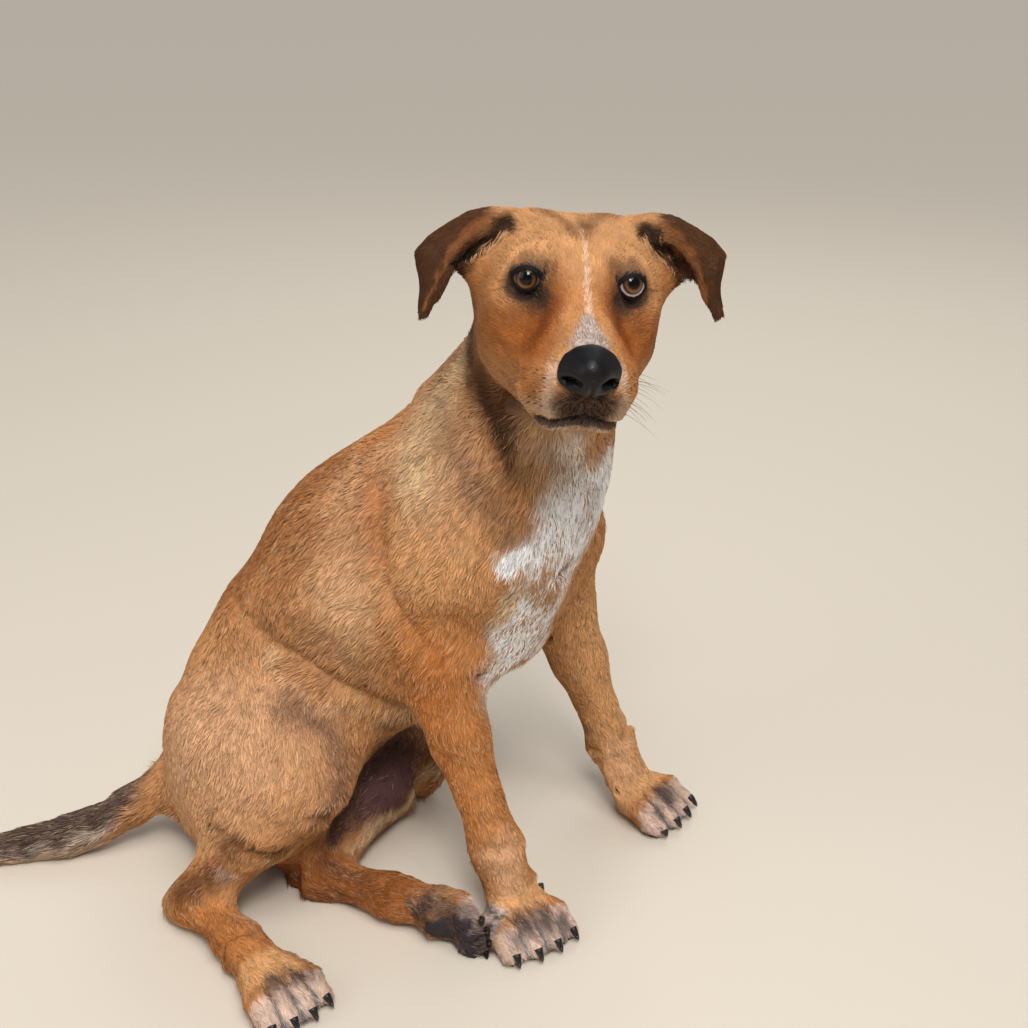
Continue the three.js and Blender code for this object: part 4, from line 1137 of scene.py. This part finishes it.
class DOG_OT_skin(bpy.types.Operator):
    """One skin from all the flesh, smoothed, with lids, folds and lips"""

    bl_idname = "dog.skin"
    bl_label = "Skin"

    def execute(self, context):
        settings = context.scene.dog_skin
        fillers = [(lid_frame(side).translation, SOCKET_FILLER) for side in SIDES]
        fillers += toe_fillers() + tail_fillers()
        piece = new_object("skin", joined_copy(FLESH, fillers))
        remeshed(piece, settings.voxel)
        self.smooth(piece.data)
        self.thin(piece, settings.faces)
        self.sculpt(piece.data)
        self.measure(piece.data)
        piece.data.materials.append(skin_material())
        piece.data.shade_smooth()
        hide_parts(*FLESH)
        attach(piece, "root")
        return {"FINISHED"}

    def smooth(self, mesh):
        """Smooths away the facets and sinks the skin by the coat's depth."""
        net = Net(mesh)
        co = positions(mesh)
        kinds = [kind_of(node) for node in FLESH]
        where = nearest_node(co)
        smoothing = np.array([COAT[kind][SMOOTHING] for kind in kinds])[where] * MM
        depth = np.array([COAT[kind][DEPTH] * MM + swelling(kind) for kind in kinds])[where]
        smoothing = net.smoothed(smoothing[:, None], 0.5, 40)
        most = smoothing.max()
        rounds = int(round(2 * (most / net.step) ** 2 / MOST_SHARE))
        share = MOST_SHARE * (smoothing / most) ** 2
        soft = net.smoothed(co, share, rounds)
        soft += net.smoothed(co - soft, share, rounds)
        set_positions(mesh, soft)
        depth = net.smoothed(depth[:, None], 0.5, 60)
        set_positions(mesh, soft - normals(mesh) * depth)

    def thin(self, piece, faces):
        """Keeps the fine grid on the head and paws, and makes it coarser elsewhere."""
        mesh = piece.data
        where = nearest_node(positions(mesh))
        fine = np.array([node.startswith(FINE_PARTS) for node in FLESH])[where]
        group = piece.vertex_groups.new(name="coarse")
        group.add([int(n) for n in np.flatnonzero(~fine)], 1.0, "REPLACE")
        thinner = piece.modifiers.new("Coarser", "DECIMATE")
        thinner.vertex_group = "coarse"
        thinner.vertex_group_factor = 10
        thinner.ratio = min(1, faces / (2 * len(mesh.polygons)))
        applied(piece)
        piece.vertex_groups.clear()

    def sculpt(self, mesh):
        """Cuts the folds and shapes the pads and the lids, on a finer net round the eyes."""
        eyes = [lid_frame(side).translation for side in SIDES]
        bm = bmesh.new()
        bm.from_mesh(mesh)
        bmesh.ops.triangulate(bm, faces=bm.faces)
        near = [e for e in bm.edges if min((e.verts[0].co - eye).length for eye in eyes) < FINE_AT_EYES]
        bmesh.ops.subdivide_edges(bm, edges=near, cuts=2, use_grid_fill=True)
        bmesh.ops.triangulate(bm, faces=bm.faces)
        bm.to_mesh(mesh)
        bm.free()
        co = shape_folds(positions(mesh), normals(mesh), all_folds())
        co = shape_pads(co, normals(mesh))
        set_positions(mesh, shape_lids(co))

    def measure(self, mesh):
        """Stores the coat's measures, its lie and the markings on the skin."""
        co = positions(mesh)
        net = Net(mesh)
        where = nearest_node(co)
        table = np.array([COAT[kind_of(node)] for node in FLESH])[where]
        table = net.smoothed(table, 0.5, 12)
        table[:, LENGTH] *= 1 - 0.35 * blob(inside(HEAD, co), (40, 0, -30), (36, 40, 44), 0.5)
        for side in SIDES:
            near_eye = blob(inside(lid_frame(side), co), (6, 0, 0), (20, 17, 15), 0.35)
            table[:, [DEPTH, LENGTH]] *= 1 - 0.5 * near_eye[:, None]
        for n, name in enumerate(MEASURES):
            store(mesh, name, table[:, n])
        store(mesh, "density", table[:, DENSITY] * (1 - bareness(co)))
        store(mesh, "node", where)
        store(mesh, "lie", lie_at(co, normals(mesh)), "FLOAT_VECTOR")
        colours = markings(co)
        store(mesh, "marking", np.hstack([colours, np.ones((len(co), 1))]), "FLOAT_COLOR")


# Each piece of the coat: the flesh it grows on, and the side of the body it keeps to, if any.
COAT_PIECES = {
    "coat_head_right": (("head", "jaw"), -1),
    "coat_head_left": (("head", "jaw"), 1),
    "coat_ears": (("ear",), 0),
    "coat_neck": (("neck",), 0),
    "coat_trunk_right": (("trunk",), -1),
    "coat_trunk_left": (("trunk",), 1),
    "coat_foreleg_right": (("upper_foreleg_right", "forearm_right", "fore_paw_right"), 0),
    "coat_foreleg_left": (("upper_foreleg_left", "forearm_left", "fore_paw_left"), 0),
    "coat_hind_right": (("thigh_right", "shank_right", "pastern_right", "hind_paw_right"), 0),
    "coat_hind_left": (("thigh_left", "shank_left", "pastern_left", "hind_paw_left"), 0),
    "coat_tail": (("tail",), 0),
}
# The plane that parts the trunk's coat: a point of it, and the way to the left.
BODY_MIDDLE = (-88, 18, 222)
BODY_LEFTWARD = (0.5, 0.85, 0)
MOST_TUFTS = 39900  # in one piece
SQUARE_CM_PER_M = 1e4  # square centimetres in a square metre
# A tuft is a thin leaf with a ridge: where its six points lie across, along and up, and its five
# facets. Along is a share of its length, up of the coat's depth, and across and ridge of its width.
TUFT_ACROSS = np.array([-0.35, 0.35, -0.5, 0.5, 0.0, 0.0])
TUFT_ALONG = np.array([0.0, 0.0, 0.45, 0.45, 0.42, 1.0])
TUFT_UP = np.array([-0.15, -0.15, 0.6, 0.6, 0.75, 0.95])
TUFT_RIDGE = np.array([0.0, 0.0, 0.0, 0.0, 0.3, 0.0])
TUFT_TINT = np.array([0.8, 0.8, 0.94, 0.94, 1.0, 1.14])
TUFT_FACETS = np.array([[0, 1, 4], [0, 4, 2], [1, 3, 4], [2, 4, 5], [4, 3, 5]])
TUFTS_TO_A_LOCK = 22
BAKE_PATCH = 0.003
STRANDS_APART = 997  # so many tufts before the streaks of one come back
PRESSED_FLAT = 0.3  # the least height of hair over the floor


def unwrapped(co, tris):
    """The texture places of the corners of some triangles, unfolded by the surface's own shape."""
    used, local = np.unique(tris, return_inverse=True)
    mesh = bpy.data.meshes.new("unwrap")
    mesh.from_pydata(co[used].tolist(), [], local.reshape(-1, 3).tolist())
    piece = new_object("unwrap", mesh)
    bpy.ops.object.select_all(action="DESELECT")
    piece.select_set(True)
    bpy.context.view_layer.objects.active = piece
    bpy.ops.object.mode_set(mode="EDIT")
    bpy.ops.mesh.select_all(action="SELECT")
    bpy.ops.uv.smart_project(angle_limit=math.radians(66), island_margin=0.003)
    bpy.ops.object.mode_set(mode="OBJECT")
    uv = read(mesh.uv_layers.active.data, "uv", 2)
    bpy.data.objects.remove(piece)
    bpy.data.meshes.remove(mesh)
    return uv.reshape(-1, 3, 2).astype(float)


class Surface:
    """The skin as arrays, for what grows on it."""

    def __init__(self, mesh):
        self.co = positions(mesh)
        self.normal = normals(mesh)
        self.tris = triangles(mesh)
        self.node = stored(mesh, "node").astype(int)[self.tris[:, 0]]
        self.lie = stored(mesh, "lie", 3)
        self.measure = np.stack([stored(mesh, name) for name in MEASURES], 1)
        a, b, c = (self.co[self.tris[:, n]] for n in range(3))
        self.area = np.linalg.norm(np.cross(b - a, c - a), axis=1) / 2

    def faces_of(self, prefixes, side):
        """The faces on some parts of the body, on one side of its middle or, for 0, on both."""
        wanted = np.array([node.startswith(prefixes) for node in FLESH])[self.node]
        corner = self.co[self.tris[:, 0]]
        if "head" in prefixes:
            leftward = inside(HEAD, corner)[:, 1]
        else:
            leftward = (inside(BODY, corner) - BODY_MIDDLE) @ np.array(BODY_LEFTWARD)
        if side:
            wanted &= (leftward > 0) == (side > 0)
        return np.flatnonzero(wanted)


def tufts_on(surface, faces, rng, settings):
    """Root, directions, measures and texture place of each tuft on some faces."""
    tris = surface.tris[faces]
    density = surface.measure[:, DENSITY][tris].mean(1) * settings.density
    wanted = surface.area[faces] * SQUARE_CM_PER_M * density
    wanted *= min(1, MOST_TUFTS / wanted.sum())
    count = np.floor(wanted + rng.random(len(faces))).astype(int)
    at = np.repeat(np.arange(len(faces)), count)[:MOST_TUFTS]
    r, s = np.sqrt(rng.random(len(at))), rng.random(len(at))
    share = np.stack([1 - r, r * (1 - s), r * s], 1)[:, :, None]
    root = (surface.co[tris[at]] * share).sum(1)
    normal = unit((surface.normal[tris[at]] * share).sum(1))
    lie = (surface.lie[tris[at]] * share).sum(1)
    measure = (surface.measure[tris[at]] * share).sum(1)
    uv = (unwrapped(surface.co, tris)[at] * share).sum(1)
    return root, normal, lie, measure, uv


def tuft_points(root, normal, lie, measure, rng, settings):
    """Six points for each tuft. Tips of neighbours draw together into locks."""
    n = len(root)
    _, depth, length, width, _ = measure.T[:, :, None] * MM
    length = length * settings.length * rng.uniform(0.72, 1.25, (n, 1))
    depth = depth * rng.uniform(0.6, 1.15, (n, 1))
    across = unit(np.cross(lie, normal))
    turn = rng.normal(0, 0.13, (n, 1)) + 0.22 * ripple(root, 0.022, 21)[:, None]
    lie = unit(lie - normal * (lie * normal).sum(1, keepdims=True))
    lie, across = lie * np.cos(turn) + across * np.sin(turn), across * np.cos(turn) - lie * np.sin(turn)
    locks = root[rng.choice(n, max(n // TUFTS_TO_A_LOCK, 1), replace=False)]
    pull = (locks[nearest(locks, root)] - root) * settings.clumping
    pull -= normal * (pull * normal).sum(1, keepdims=True)
    points = root[:, None] + across[:, None] * (width * TUFT_ACROSS)[:, :, None]
    points = points + lie[:, None] * (length * TUFT_ALONG)[:, :, None]
    points = points + normal[:, None] * (depth * TUFT_UP + width * TUFT_RIDGE)[:, :, None]
    points = points + pull[:, None] * (TUFT_ALONG ** 1.5)[None, :, None]
    points[:, :, 2] = np.maximum(points[:, :, 2], PRESSED_FLAT * MM)
    return points


def tuft_mesh(name, points, colours, uv):
    """One mesh of many tufts."""
    n = len(points)
    corners = (np.arange(n)[:, None, None] * 6 + TUFT_FACETS).ravel().astype(np.int32)
    mesh = bpy.data.meshes.new(name)
    mesh.vertices.add(n * 6)
    mesh.vertices.foreach_set("co", points.astype(np.float32).ravel())
    mesh.loops.add(len(corners))
    mesh.loops.foreach_set("vertex_index", corners)
    mesh.polygons.add(n * 5)
    mesh.polygons.foreach_set("loop_start", np.arange(0, len(corners), 3, dtype=np.int32))
    mesh.update(calc_edges=True)
    tint = colours[:, None] * TUFT_TINT[None, :, None]
    tint = np.concatenate([np.clip(tint, 0, 1), np.ones((n, 6, 1))], 2)
    store(mesh, "marking", tint, "FLOAT_COLOR")
    strand = np.stack([TUFT_ACROSS, TUFT_ALONG], 1)
    patch = uv[:, None] + BAKE_PATCH * (strand - (0, 0.5))[None]
    bake = mesh.uv_layers.new(name="OFBake")
    bake.data.foreach_set("uv", patch[:, TUFT_FACETS.ravel()].astype(np.float32).ravel())
    own = mesh.uv_layers.new(name="Strand")
    shift = np.zeros((n, 1, 2))
    shift[:, 0, 0] = np.arange(n) % STRANDS_APART
    own.data.foreach_set("uv", (strand[None] + shift)[:, TUFT_FACETS.ravel()].astype(np.float32).ravel())
    return mesh


class DOG_OT_coat(bpy.types.Operator):
    """Tufts of short hair all over the skin, in one piece for each part of the body"""

    bl_idname = "dog.coat"
    bl_label = "Coat"

    def execute(self, context):
        settings = context.scene.dog_coat
        surface = Surface(bpy.data.objects["skin"].data)
        material = coat_material()
        for number, (name, (prefixes, side)) in enumerate(COAT_PIECES.items()):
            rng = np.random.default_rng(SEED + number)
            faces = surface.faces_of(prefixes, side)
            root, normal, lie, measure, uv = tufts_on(surface, faces, rng, settings)
            points = tuft_points(root, normal, lie, measure, rng, settings)
            mesh = tuft_mesh(name, points, hair_colours(root, rng), uv)
            mesh.materials.append(material)
            piece = new_object(name, mesh)
            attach(piece, "root")
        return {"FINISHED"}


def hair_colours(root, rng):
    """The marking at each root, with lighter and darker hairs among the others."""
    body = inside(BODY, root)
    at_face = smoothstep(-90, -60, inside(HEAD, root)[:, 0]) * (body[:, 2] > 390)
    shade = 1 + (0.15 - 0.06 * at_face) * rng.normal(0, 1, len(root))
    shade += (0.12 - 0.06 * at_face) * ripple(body, 6, 43)
    colours = markings(root) * np.clip(shade, 0.5, 1.5)[:, None]
    grizzle = 0.35 + 0.65 * smoothstep(-0.4, 0.9, ripple(body, 26, 41))
    grizzle *= 1 - 0.85 * at_face
    blonde = (rng.random(len(root)) < 0.16) * grizzle * (colours.mean(1) < 0.42)
    colours = painted(colours, BUFF * 0.9, blonde, 0.5)
    dark = (rng.random(len(root)) < 0.12) * grizzle * (colours.mean(1) < 0.5)
    return colours * (1 - 0.4 * dark[:, None])


# ---------------------------------------------------------------- long hairs
# Where longer hair hangs or stands out: the frame, a line, how far the roots stray from it, which way
# the hair points, its length, how far it is lifted, its width, the number of hairs and their colour.
LONG_HAIRS = [
    (BODY, [(46, -100, 352), (42, -92, 310), (30, -90, 270), (8, -74, 215), (-8, -56, 185)], 24,
     (-0.1, -0.1, -1), 16, 0.14, 0.8, 3600, None),
    (BODY, [(-44, -70, 400), (-50, -62, 350), (-40, -74, 310)], 26,
     (-0.2, -0.2, -1), 16, 0.14, 0.85, 900, None),
    (BODY, [(-20, -60, 176), (-60, -50, 150), (-100, -44, 146)], 10,
     (-0.3, -0.2, -1), 15, 0.4, 0.8, 420, BUFF),
    (BODY, [(-240, -40, 70), (-228, -70, 62), (-200, -80, 70)], 10, (0.1, 0, -1), 13, 0.3, 0.8, 260, BUFF),
    (BODY, [(-252, 6, 62), (-340, -22, 6), (-450, -46, 4), (-560, -38, 2)], 9, (-1, 0, -0.25), 16, 0.25, 0.8,
     700, None),
    (HEAD, [(54, 0, -70), (40, 0, -75), (20, 0, -77)], 9, (-0.6, 0, -1), 7, 0.3, 0.5, 260, PALE),
]
for left in (1, -1):
    LONG_HAIRS.append((HEAD, on_side([(-38, 34, 20), (-40, 44, 12), (-42, 56, 4)], left), 5,
                       (0.6, 0.4 * left, -0.4), 6.5, 0.35, 0.35, 120, BUFF))
WHISKER_SEGMENTS = 6
WHISKER_RADIUS = 0.14
SPOT_RADIUS = 0.6  # of the short bristle that is the dark spot at a whisker's root
SPOT_LENGTH = 2.4


def snapped(tree, points):
    """The nearest places on the skin, which way it faces there, and which of its faces they are on."""
    hits = [tree.find_nearest(Vector(p)) for p in points]
    return [np.array([hit[n] for hit in hits]) for n in range(3)]


def whisker_mesh(name, roots, ways, lengths, radii, uv, sag):
    """Thin tapered bristles, each a bent tube of three sides."""
    n = len(roots)
    t = np.linspace(0, 1, WHISKER_SEGMENTS + 1)
    side = unit(np.cross(ways, (0.1, 0.2, 1)))
    lift = np.cross(side, ways)
    middle = roots[:, None] + ways[:, None] * (lengths[:, None] * t)[:, :, None]
    middle = middle - np.array([0, 0, 1]) * (sag * lengths[:, None] * t ** 2)[:, :, None]
    around = np.array([0, 1, 2]) * 2 * math.pi / 3
    ring = (side[:, None, None] * np.cos(around)[:, None] + lift[:, None, None] * np.sin(around)[:, None])
    thick = radii[:, None] * (1 - 0.85 * t)
    points = middle[:, :, None] + ring * thick[:, :, None, None]
    quads = []
    for k in range(WHISKER_SEGMENTS):
        for j in range(3):
            quads.append([3 * k + j, 3 * k + (j + 1) % 3, 3 * k + 3 + (j + 1) % 3, 3 * k + 3 + j])
    per = 3 * (WHISKER_SEGMENTS + 1)
    corners = (np.arange(n)[:, None, None] * per + np.array(quads)).reshape(-1, 4)
    mesh = bpy.data.meshes.new(name)
    mesh.from_pydata(points.reshape(-1, 3).tolist(), [], corners.tolist())
    patch = np.stack([np.tile(around / 7, WHISKER_SEGMENTS + 1), np.repeat(t, 3)], 1) * BAKE_PATCH
    layer = mesh.uv_layers.new(name="OFBake")
    bake = (uv[:, None] + patch[None]).reshape(-1, 2)[corners.ravel()]
    layer.data.foreach_set("uv", bake.astype(np.float32).ravel())
    return mesh


class DOG_OT_long_hairs(bpy.types.Operator):
    """The longer hair of the chest, neck, belly, tail, chin and ears, and the whiskers"""

    bl_idname = "dog.long_hairs"
    bl_label = "Long hairs"

    def execute(self, context):
        surface = Surface(bpy.data.objects["skin"].data)
        tree = BVHTree.FromPolygons(surface.co.tolist(), surface.tris.tolist())
        homes = unwrapped(surface.co, surface.tris).mean(1)
        self.hanging(context.scene.dog_coat, tree, homes)
        self.whiskers(surface, tree, homes)
        return {"FINISHED"}

    def hanging(self, settings, tree, homes):
        """The longer hair, in one piece, with its texture places from the faces it grows on."""
        rng = np.random.default_rng(SEED + 50)
        points, colours, uv = [], [], []
        for local, path, stray, way, length, lift, width, count, colour in LONG_HAIRS:
            line = spline(path, 6)[0]
            start = line[rng.integers(len(line), size=count)] + rng.normal(0, stray * 0.5, (count, 3))
            root, normal, face = snapped(tree, outside(local, start))
            uv.append(homes[face])
            lie = np.tile(np.array(local)[:3, :3] @ np.array(way, float) / MM, (count, 1))
            lie -= normal * (lie * normal).sum(1, keepdims=True)
            lie = unit(unit(lie) + normal * lift)
            measure = np.tile([1.0, 0.8 + 2 * lift, length, width, 1.0], (count, 1))
            points.append(tuft_points(root, normal, lie, measure, rng, settings))
            shade = markings(root) if colour is None else np.tile(colour, (count, 1))
            colours.append(shade * np.clip(rng.normal(1, 0.12, (count, 1)), 0.6, 1.3))
        mesh = tuft_mesh("coat_long", np.vstack(points), np.vstack(colours), np.vstack(uv))
        mesh.materials.append(bpy.data.materials["coat"])
        piece = new_object("coat_long", mesh)
        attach(piece, "root")

    def whiskers(self, surface, tree, homes):
        """Rows of whiskers on the muzzle, each with a dark spot, and three over each eye."""
        rng = np.random.default_rng(SEED + 60)
        starts, ways, lengths, spots = [], [], [], []
        for side in SIDES.values():
            for x, y, z in whisker_roots():
                spots.append(len(starts))
                starts.append((x, side * y, z))
                ways.append((0.25 - 0.02 * (56 - x), side, -0.25 - 0.02 * (-36 - z)))
                lengths.append(rng.uniform(12, 24))
            for k in range(3):
                starts.append((4 - 3 * k, side * (24 + 3 * k), 16))
                ways.append((0.8, side * 0.35, 0.7))
                lengths.append(rng.uniform(9, 14))
        starts = np.array(starts, float)
        ways = np.array(ways, float) + rng.normal(0, 0.12, (len(ways), 3))
        root, normal, face = snapped(tree, outside(HEAD, starts))
        ways = unit(unit(ways @ np.array(HEAD)[:3, :3].T) + 0.25 * normal)
        lengths = np.array(lengths) * MM
        radii = np.full(len(root), WHISKER_RADIUS * MM)
        # Each whisker of the muzzle grows from a dark spot, which is a short stout bristle.
        lie = unit(surface.lie[surface.tris[face[spots], 0]] + 0.25 * normal[spots])
        root = np.vstack([root - normal * MM, root[spots] + 0.3 * MM * normal[spots]])
        ways = np.vstack([ways, lie])
        lengths = np.concatenate([lengths, np.full(len(spots), SPOT_LENGTH * MM)])
        radii = np.concatenate([radii, np.full(len(spots), SPOT_RADIUS * MM)])
        face = np.concatenate([face, face[spots]])
        mesh = whisker_mesh("whiskers", root, ways, lengths, radii, homes[face], 0.25)
        material, _, _, shader = new_material("whisker")
        shader.inputs["Base Color"].default_value = (0.05, 0.033, 0.026, 1)
        shader.inputs["Roughness"].default_value = 0.4
        mesh.materials.append(material)
        mesh.shade_smooth()
        piece = new_object("whiskers", mesh)
        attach(piece, "root")


# ---------------------------------------------------------------- nose
NOSE_GRID = 0.0007  # metres, the squares of its net
NOSE_GROWS = 0.0012  # to stand out of the skin round it
NOSTRIL = [(79, 7.5, -32), (76, 10.5, -31), (70, 14, -32.5)]
PHILTRUM = [(80, 0, -29), (79, 0, -34), (74, 0, -40), (66, 0, -46)]


class DOG_OT_nose(bpy.types.Operator):
    """The bare leather of the nose, with its nostrils and the cleft below"""

    bl_idname = "dog.nose"
    bl_label = "Nose"

    def execute(self, context):
        bm = bmesh.new()
        bm.from_mesh(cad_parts["nose"].data)
        bmesh.ops.remove_doubles(bm, verts=bm.verts, dist=SAME_PLACE)
        piece = new_object("nose_leather", mesh_from(bm, "nose_leather"))
        mesh = remeshed(piece, NOSE_GRID)
        net = Net(mesh)
        co = net.smoothed(positions(mesh), 0.6, 40)
        set_positions(mesh, co)
        set_positions(mesh, co + normals(mesh) * NOSE_GROWS)
        grooves = [(FROM_FRONT, PHILTRUM, 0.9, 1.4)]
        for side in SIDES.values():
            for width, depth in ((2.2, 3.4), (1.3, 2.0)):
                grooves.append((FROM_FRONT, on_side(NOSTRIL, side), width, depth))
        set_positions(mesh, shape_folds(positions(mesh), normals(mesh), grooves))
        mesh.materials.append(nose_material())
        mesh.shade_smooth()
        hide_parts("nose")
        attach(piece, "root")
        return {"FINISHED"}


# ---------------------------------------------------------------- eyes
RINGS_END = 10  # how far from the gaze the rings of colour reach
IRIS_RADIUS = 6.0
PUPIL_RADIUS = 3.2
CORNEA_BULGE = 0.9
# Which way each eye looks, in the head's frame, and how light its white is.
GAZE = {"right": (1, -0.25, 0.10), "left": (1, 0.20, 0.31)}
EYE_WHITE = {"right": (0.18, 0.12, 0.11), "left": (0.55, 0.45, 0.43)}


class DOG_OT_eyes(bpy.types.Operator):
    """Two wet eyeballs with iris, pupil and a bulging cornea"""

    bl_idname = "dog.eyes"
    bl_label = "Eyes"

    def execute(self, context):
        for side in SIDES:
            mesh = self.ball(gaze_frame(side, GAZE[side]))
            mesh.materials.append(eye_material(side))
            piece = new_object("eyeball_" + side, mesh)
            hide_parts("eye_" + side)
            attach(piece, "root")
        return {"FINISHED"}

    def ball(self, local):
        bm = bmesh.new()
        pole_forward = Matrix.Rotation(math.pi / 2, 4, "Y")
        bmesh.ops.create_uvsphere(bm, u_segments=48, v_segments=64, radius=EYEBALL_RADIUS,
                                  matrix=pole_forward)
        mesh = mesh_from(bm, "eyeball")
        co = positions(mesh)
        off = np.linalg.norm(co[:, 1:], axis=1)
        front = co[:, 0] > 0
        off_gaze = np.where(front, off, RINGS_END)
        store(mesh, "gaze", np.stack([off_gaze, co[:, 1], co[:, 2]], 1), "FLOAT_VECTOR")
        co[:, 0] += front * CORNEA_BULGE * np.clip(1 - (off / (IRIS_RADIUS + 1)) ** 2, 0, 1)
        set_positions(mesh, outside(local, co))
        mesh.shade_smooth()
        return mesh


# ---------------------------------------------------------------- claws
CLAW_RINGS = 7
CLAW_RADIUS = 2.9  # at its root
CLAW_ARCH = 0.9  # how far its middle rises over a straight line


class DOG_OT_claws(bpy.types.Operator):
    """Smooth curved claws, one piece to a paw"""

    bl_idname = "dog.claws"
    bl_label = "Claws"

    def execute(self, context):
        material = claw_material()
        for paw in PAWS:
            nodes = sorted(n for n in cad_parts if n.startswith("claw_" + paw))
            bm = bmesh.new()
            for node in nodes:
                self.add_claw(bm, node, "{}_paw_{}".format(*paw.split("_")))
            mesh = mesh_from(bm, "claws_" + paw)
            mesh.materials.append(material)
            mesh.shade_smooth()
            piece = new_object("claws_" + paw, mesh)
            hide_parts(*nodes)
            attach(piece, "root")
        return {"FINISHED"}

    def add_claw(self, bm, node, paw):
        """A horn from inside the toe to the tip of the node's claw."""
        corners = positions(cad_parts[node].data)
        heart = np.array(centre(paw))
        away = np.linalg.norm(corners - heart, axis=1)
        tip = corners[away.argmax()]
        base = corners[away < np.percentile(away, 40)].mean(0)
        tip = tip - unit(tip - base) * 2.0 * MM
        start = base + (tip - base) * 0.22
        arch = np.array([0, 0, -1.0]) * CLAW_ARCH * MM
        ring = None
        for n in range(CLAW_RINGS):
            t = n / (CLAW_RINGS - 1)
            middle = start + (tip - start) * t - arch * math.sin(t * math.pi)
            radius = CLAW_RADIUS * MM * (1 - t) ** 0.5 + 0.2 * MM
            facing = Vector(tip - start).to_track_quat("Z", "Y").to_matrix().to_4x4()
            facing.translation = middle
            made = bmesh.ops.create_circle(bm, segments=10, radius=radius, matrix=facing,
                                           cap_ends=n in (0, CLAW_RINGS - 1))
            edges = list({e for v in made["verts"] for e in v.link_edges})
            rim = [e for e in edges if all(v in made["verts"] for v in e.verts)]
            if ring:
                bmesh.ops.bridge_loops(bm, edges=ring + rim)
            ring = rim


# ---------------------------------------------------------------- stage
# The lights: a name, a place in metres, the size, and the share of the main light's power.
LIGHTS = (
    ("key", (0.35, -1.5, 1.9), 0.6, 1.0),
    ("fill", (-1.5, -0.9, 1.2), 1.4, 0.35),
    ("back", (0.6, 1.6, 1.8), 1.4, 0.4),
)
SKY_FROM = (0.3, -0.9, 2.2)
SKY_WIDTH = 36  # degrees
LIT_POINT = (0, 0, 0.25)  # metres, where all the lights point
FLOOR_HALF = 20  # metres from its middle to its edges
CAMERA_STAND = (0, -900, 660)  # in the body's frame
CAMERA_DOWN = 23  # degrees that the camera looks down
LENS = 49.03  # millimetres


class DOG_OT_stage(bpy.types.Operator):
    """A pale floor, soft light and the camera"""

    bl_idname = "dog.stage"
    bl_label = "Stage"

    def execute(self, context):
        settings = context.scene.dog_stage
        self.floor(settings)
        self.lights(settings)
        self.camera()
        bpy.context.scene.view_settings.view_transform = "Standard"
        return {"FINISHED"}

    def floor(self, settings):
        bm = bmesh.new()
        bmesh.ops.create_grid(bm, x_segments=1, y_segments=1, size=FLOOR_HALF)
        mesh = mesh_from(bm, "floor")
        floor = new_object("floor", mesh)
        material, _, _, shader = new_material("floor")
        shader.inputs["Base Color"].default_value = (*settings.floor_colour, 1)
        shader.inputs["Roughness"].default_value = 0.6
        mesh.materials.append(material)

    def lights(self, settings):
        world = bpy.data.worlds.new("studio")
        world.use_nodes = True
        world.node_tree.nodes["Background"].inputs["Color"].default_value = (0.95, 0.97, 1, 1)
        world.node_tree.nodes["Background"].inputs["Strength"].default_value = 0.26
        bpy.context.scene.world = world
        for name, spot, size, power in LIGHTS:
            data = bpy.data.lights.new(name, "AREA")
            data.size = size
            data.energy = settings.light * power
            self.place_light(data, spot)
        sky = bpy.data.lights.new("sky", "SUN")
        sky.angle = math.radians(SKY_WIDTH)
        sky.energy = settings.sky
        self.place_light(sky, SKY_FROM)

    def place_light(self, data, spot):
        light = bpy.data.objects.new(data.name, data)
        light.location = spot
        light.rotation_euler = (Vector(LIT_POINT) - Vector(spot)).to_track_quat("-Z", "Y").to_euler()
        bpy.context.scene.collection.objects.link(light)

    def camera(self):
        data = bpy.data.cameras.new("camera")
        data.sensor_width = 36
        data.lens = LENS
        data.clip_end = 100
        camera = bpy.data.objects.new("camera", data)
        camera.location = BODY @ Vector(CAMERA_STAND)
        camera.rotation_euler = (math.radians(90 - CAMERA_DOWN), 0, 0)
        bpy.context.scene.collection.objects.link(camera)
        bpy.context.scene.camera = camera


# ---------------------------------------------------------------- panel and steps
class DOG_PT_panel(bpy.types.Panel):
    """Lists the steps that dress the dog"""

    bl_label = "Puppy"
    bl_idname = "DOG_PT_panel"
    bl_space_type = "VIEW_3D"
    bl_region_type = "UI"
    bl_category = "Puppy"

    def draw(self, context):
        for operator in OPERATORS:
            self.layout.operator(operator.bl_idname)


SETTINGS = {"dog_skin": SkinSettings, "dog_coat": CoatSettings, "dog_stage": StageSettings}
OPERATORS = (
    DOG_OT_skin, DOG_OT_coat, DOG_OT_long_hairs, DOG_OT_nose, DOG_OT_eyes, DOG_OT_claws, DOG_OT_stage,
)


def register():
    for group in SETTINGS.values():
        bpy.utils.register_class(group)
    for name, group in SETTINGS.items():
        setattr(bpy.types.Scene, name, PointerProperty(type=group))
    for operator in OPERATORS:
        bpy.utils.register_class(operator)
    bpy.utils.register_class(DOG_PT_panel)


def unregister():
    bpy.utils.unregister_class(DOG_PT_panel)
    for operator in reversed(OPERATORS):
        bpy.utils.unregister_class(operator)
    for name in SETTINGS:
        delattr(bpy.types.Scene, name)
    for group in reversed(SETTINGS.values()):
        bpy.utils.unregister_class(group)


def main():
    register()
    bpy.ops.dog.skin()
    bpy.ops.dog.coat()
    bpy.ops.dog.long_hairs()
    bpy.ops.dog.nose()
    bpy.ops.dog.eyes()
    bpy.ops.dog.claws()
    bpy.ops.dog.stage()


if __name__ == "__main__":
    main()
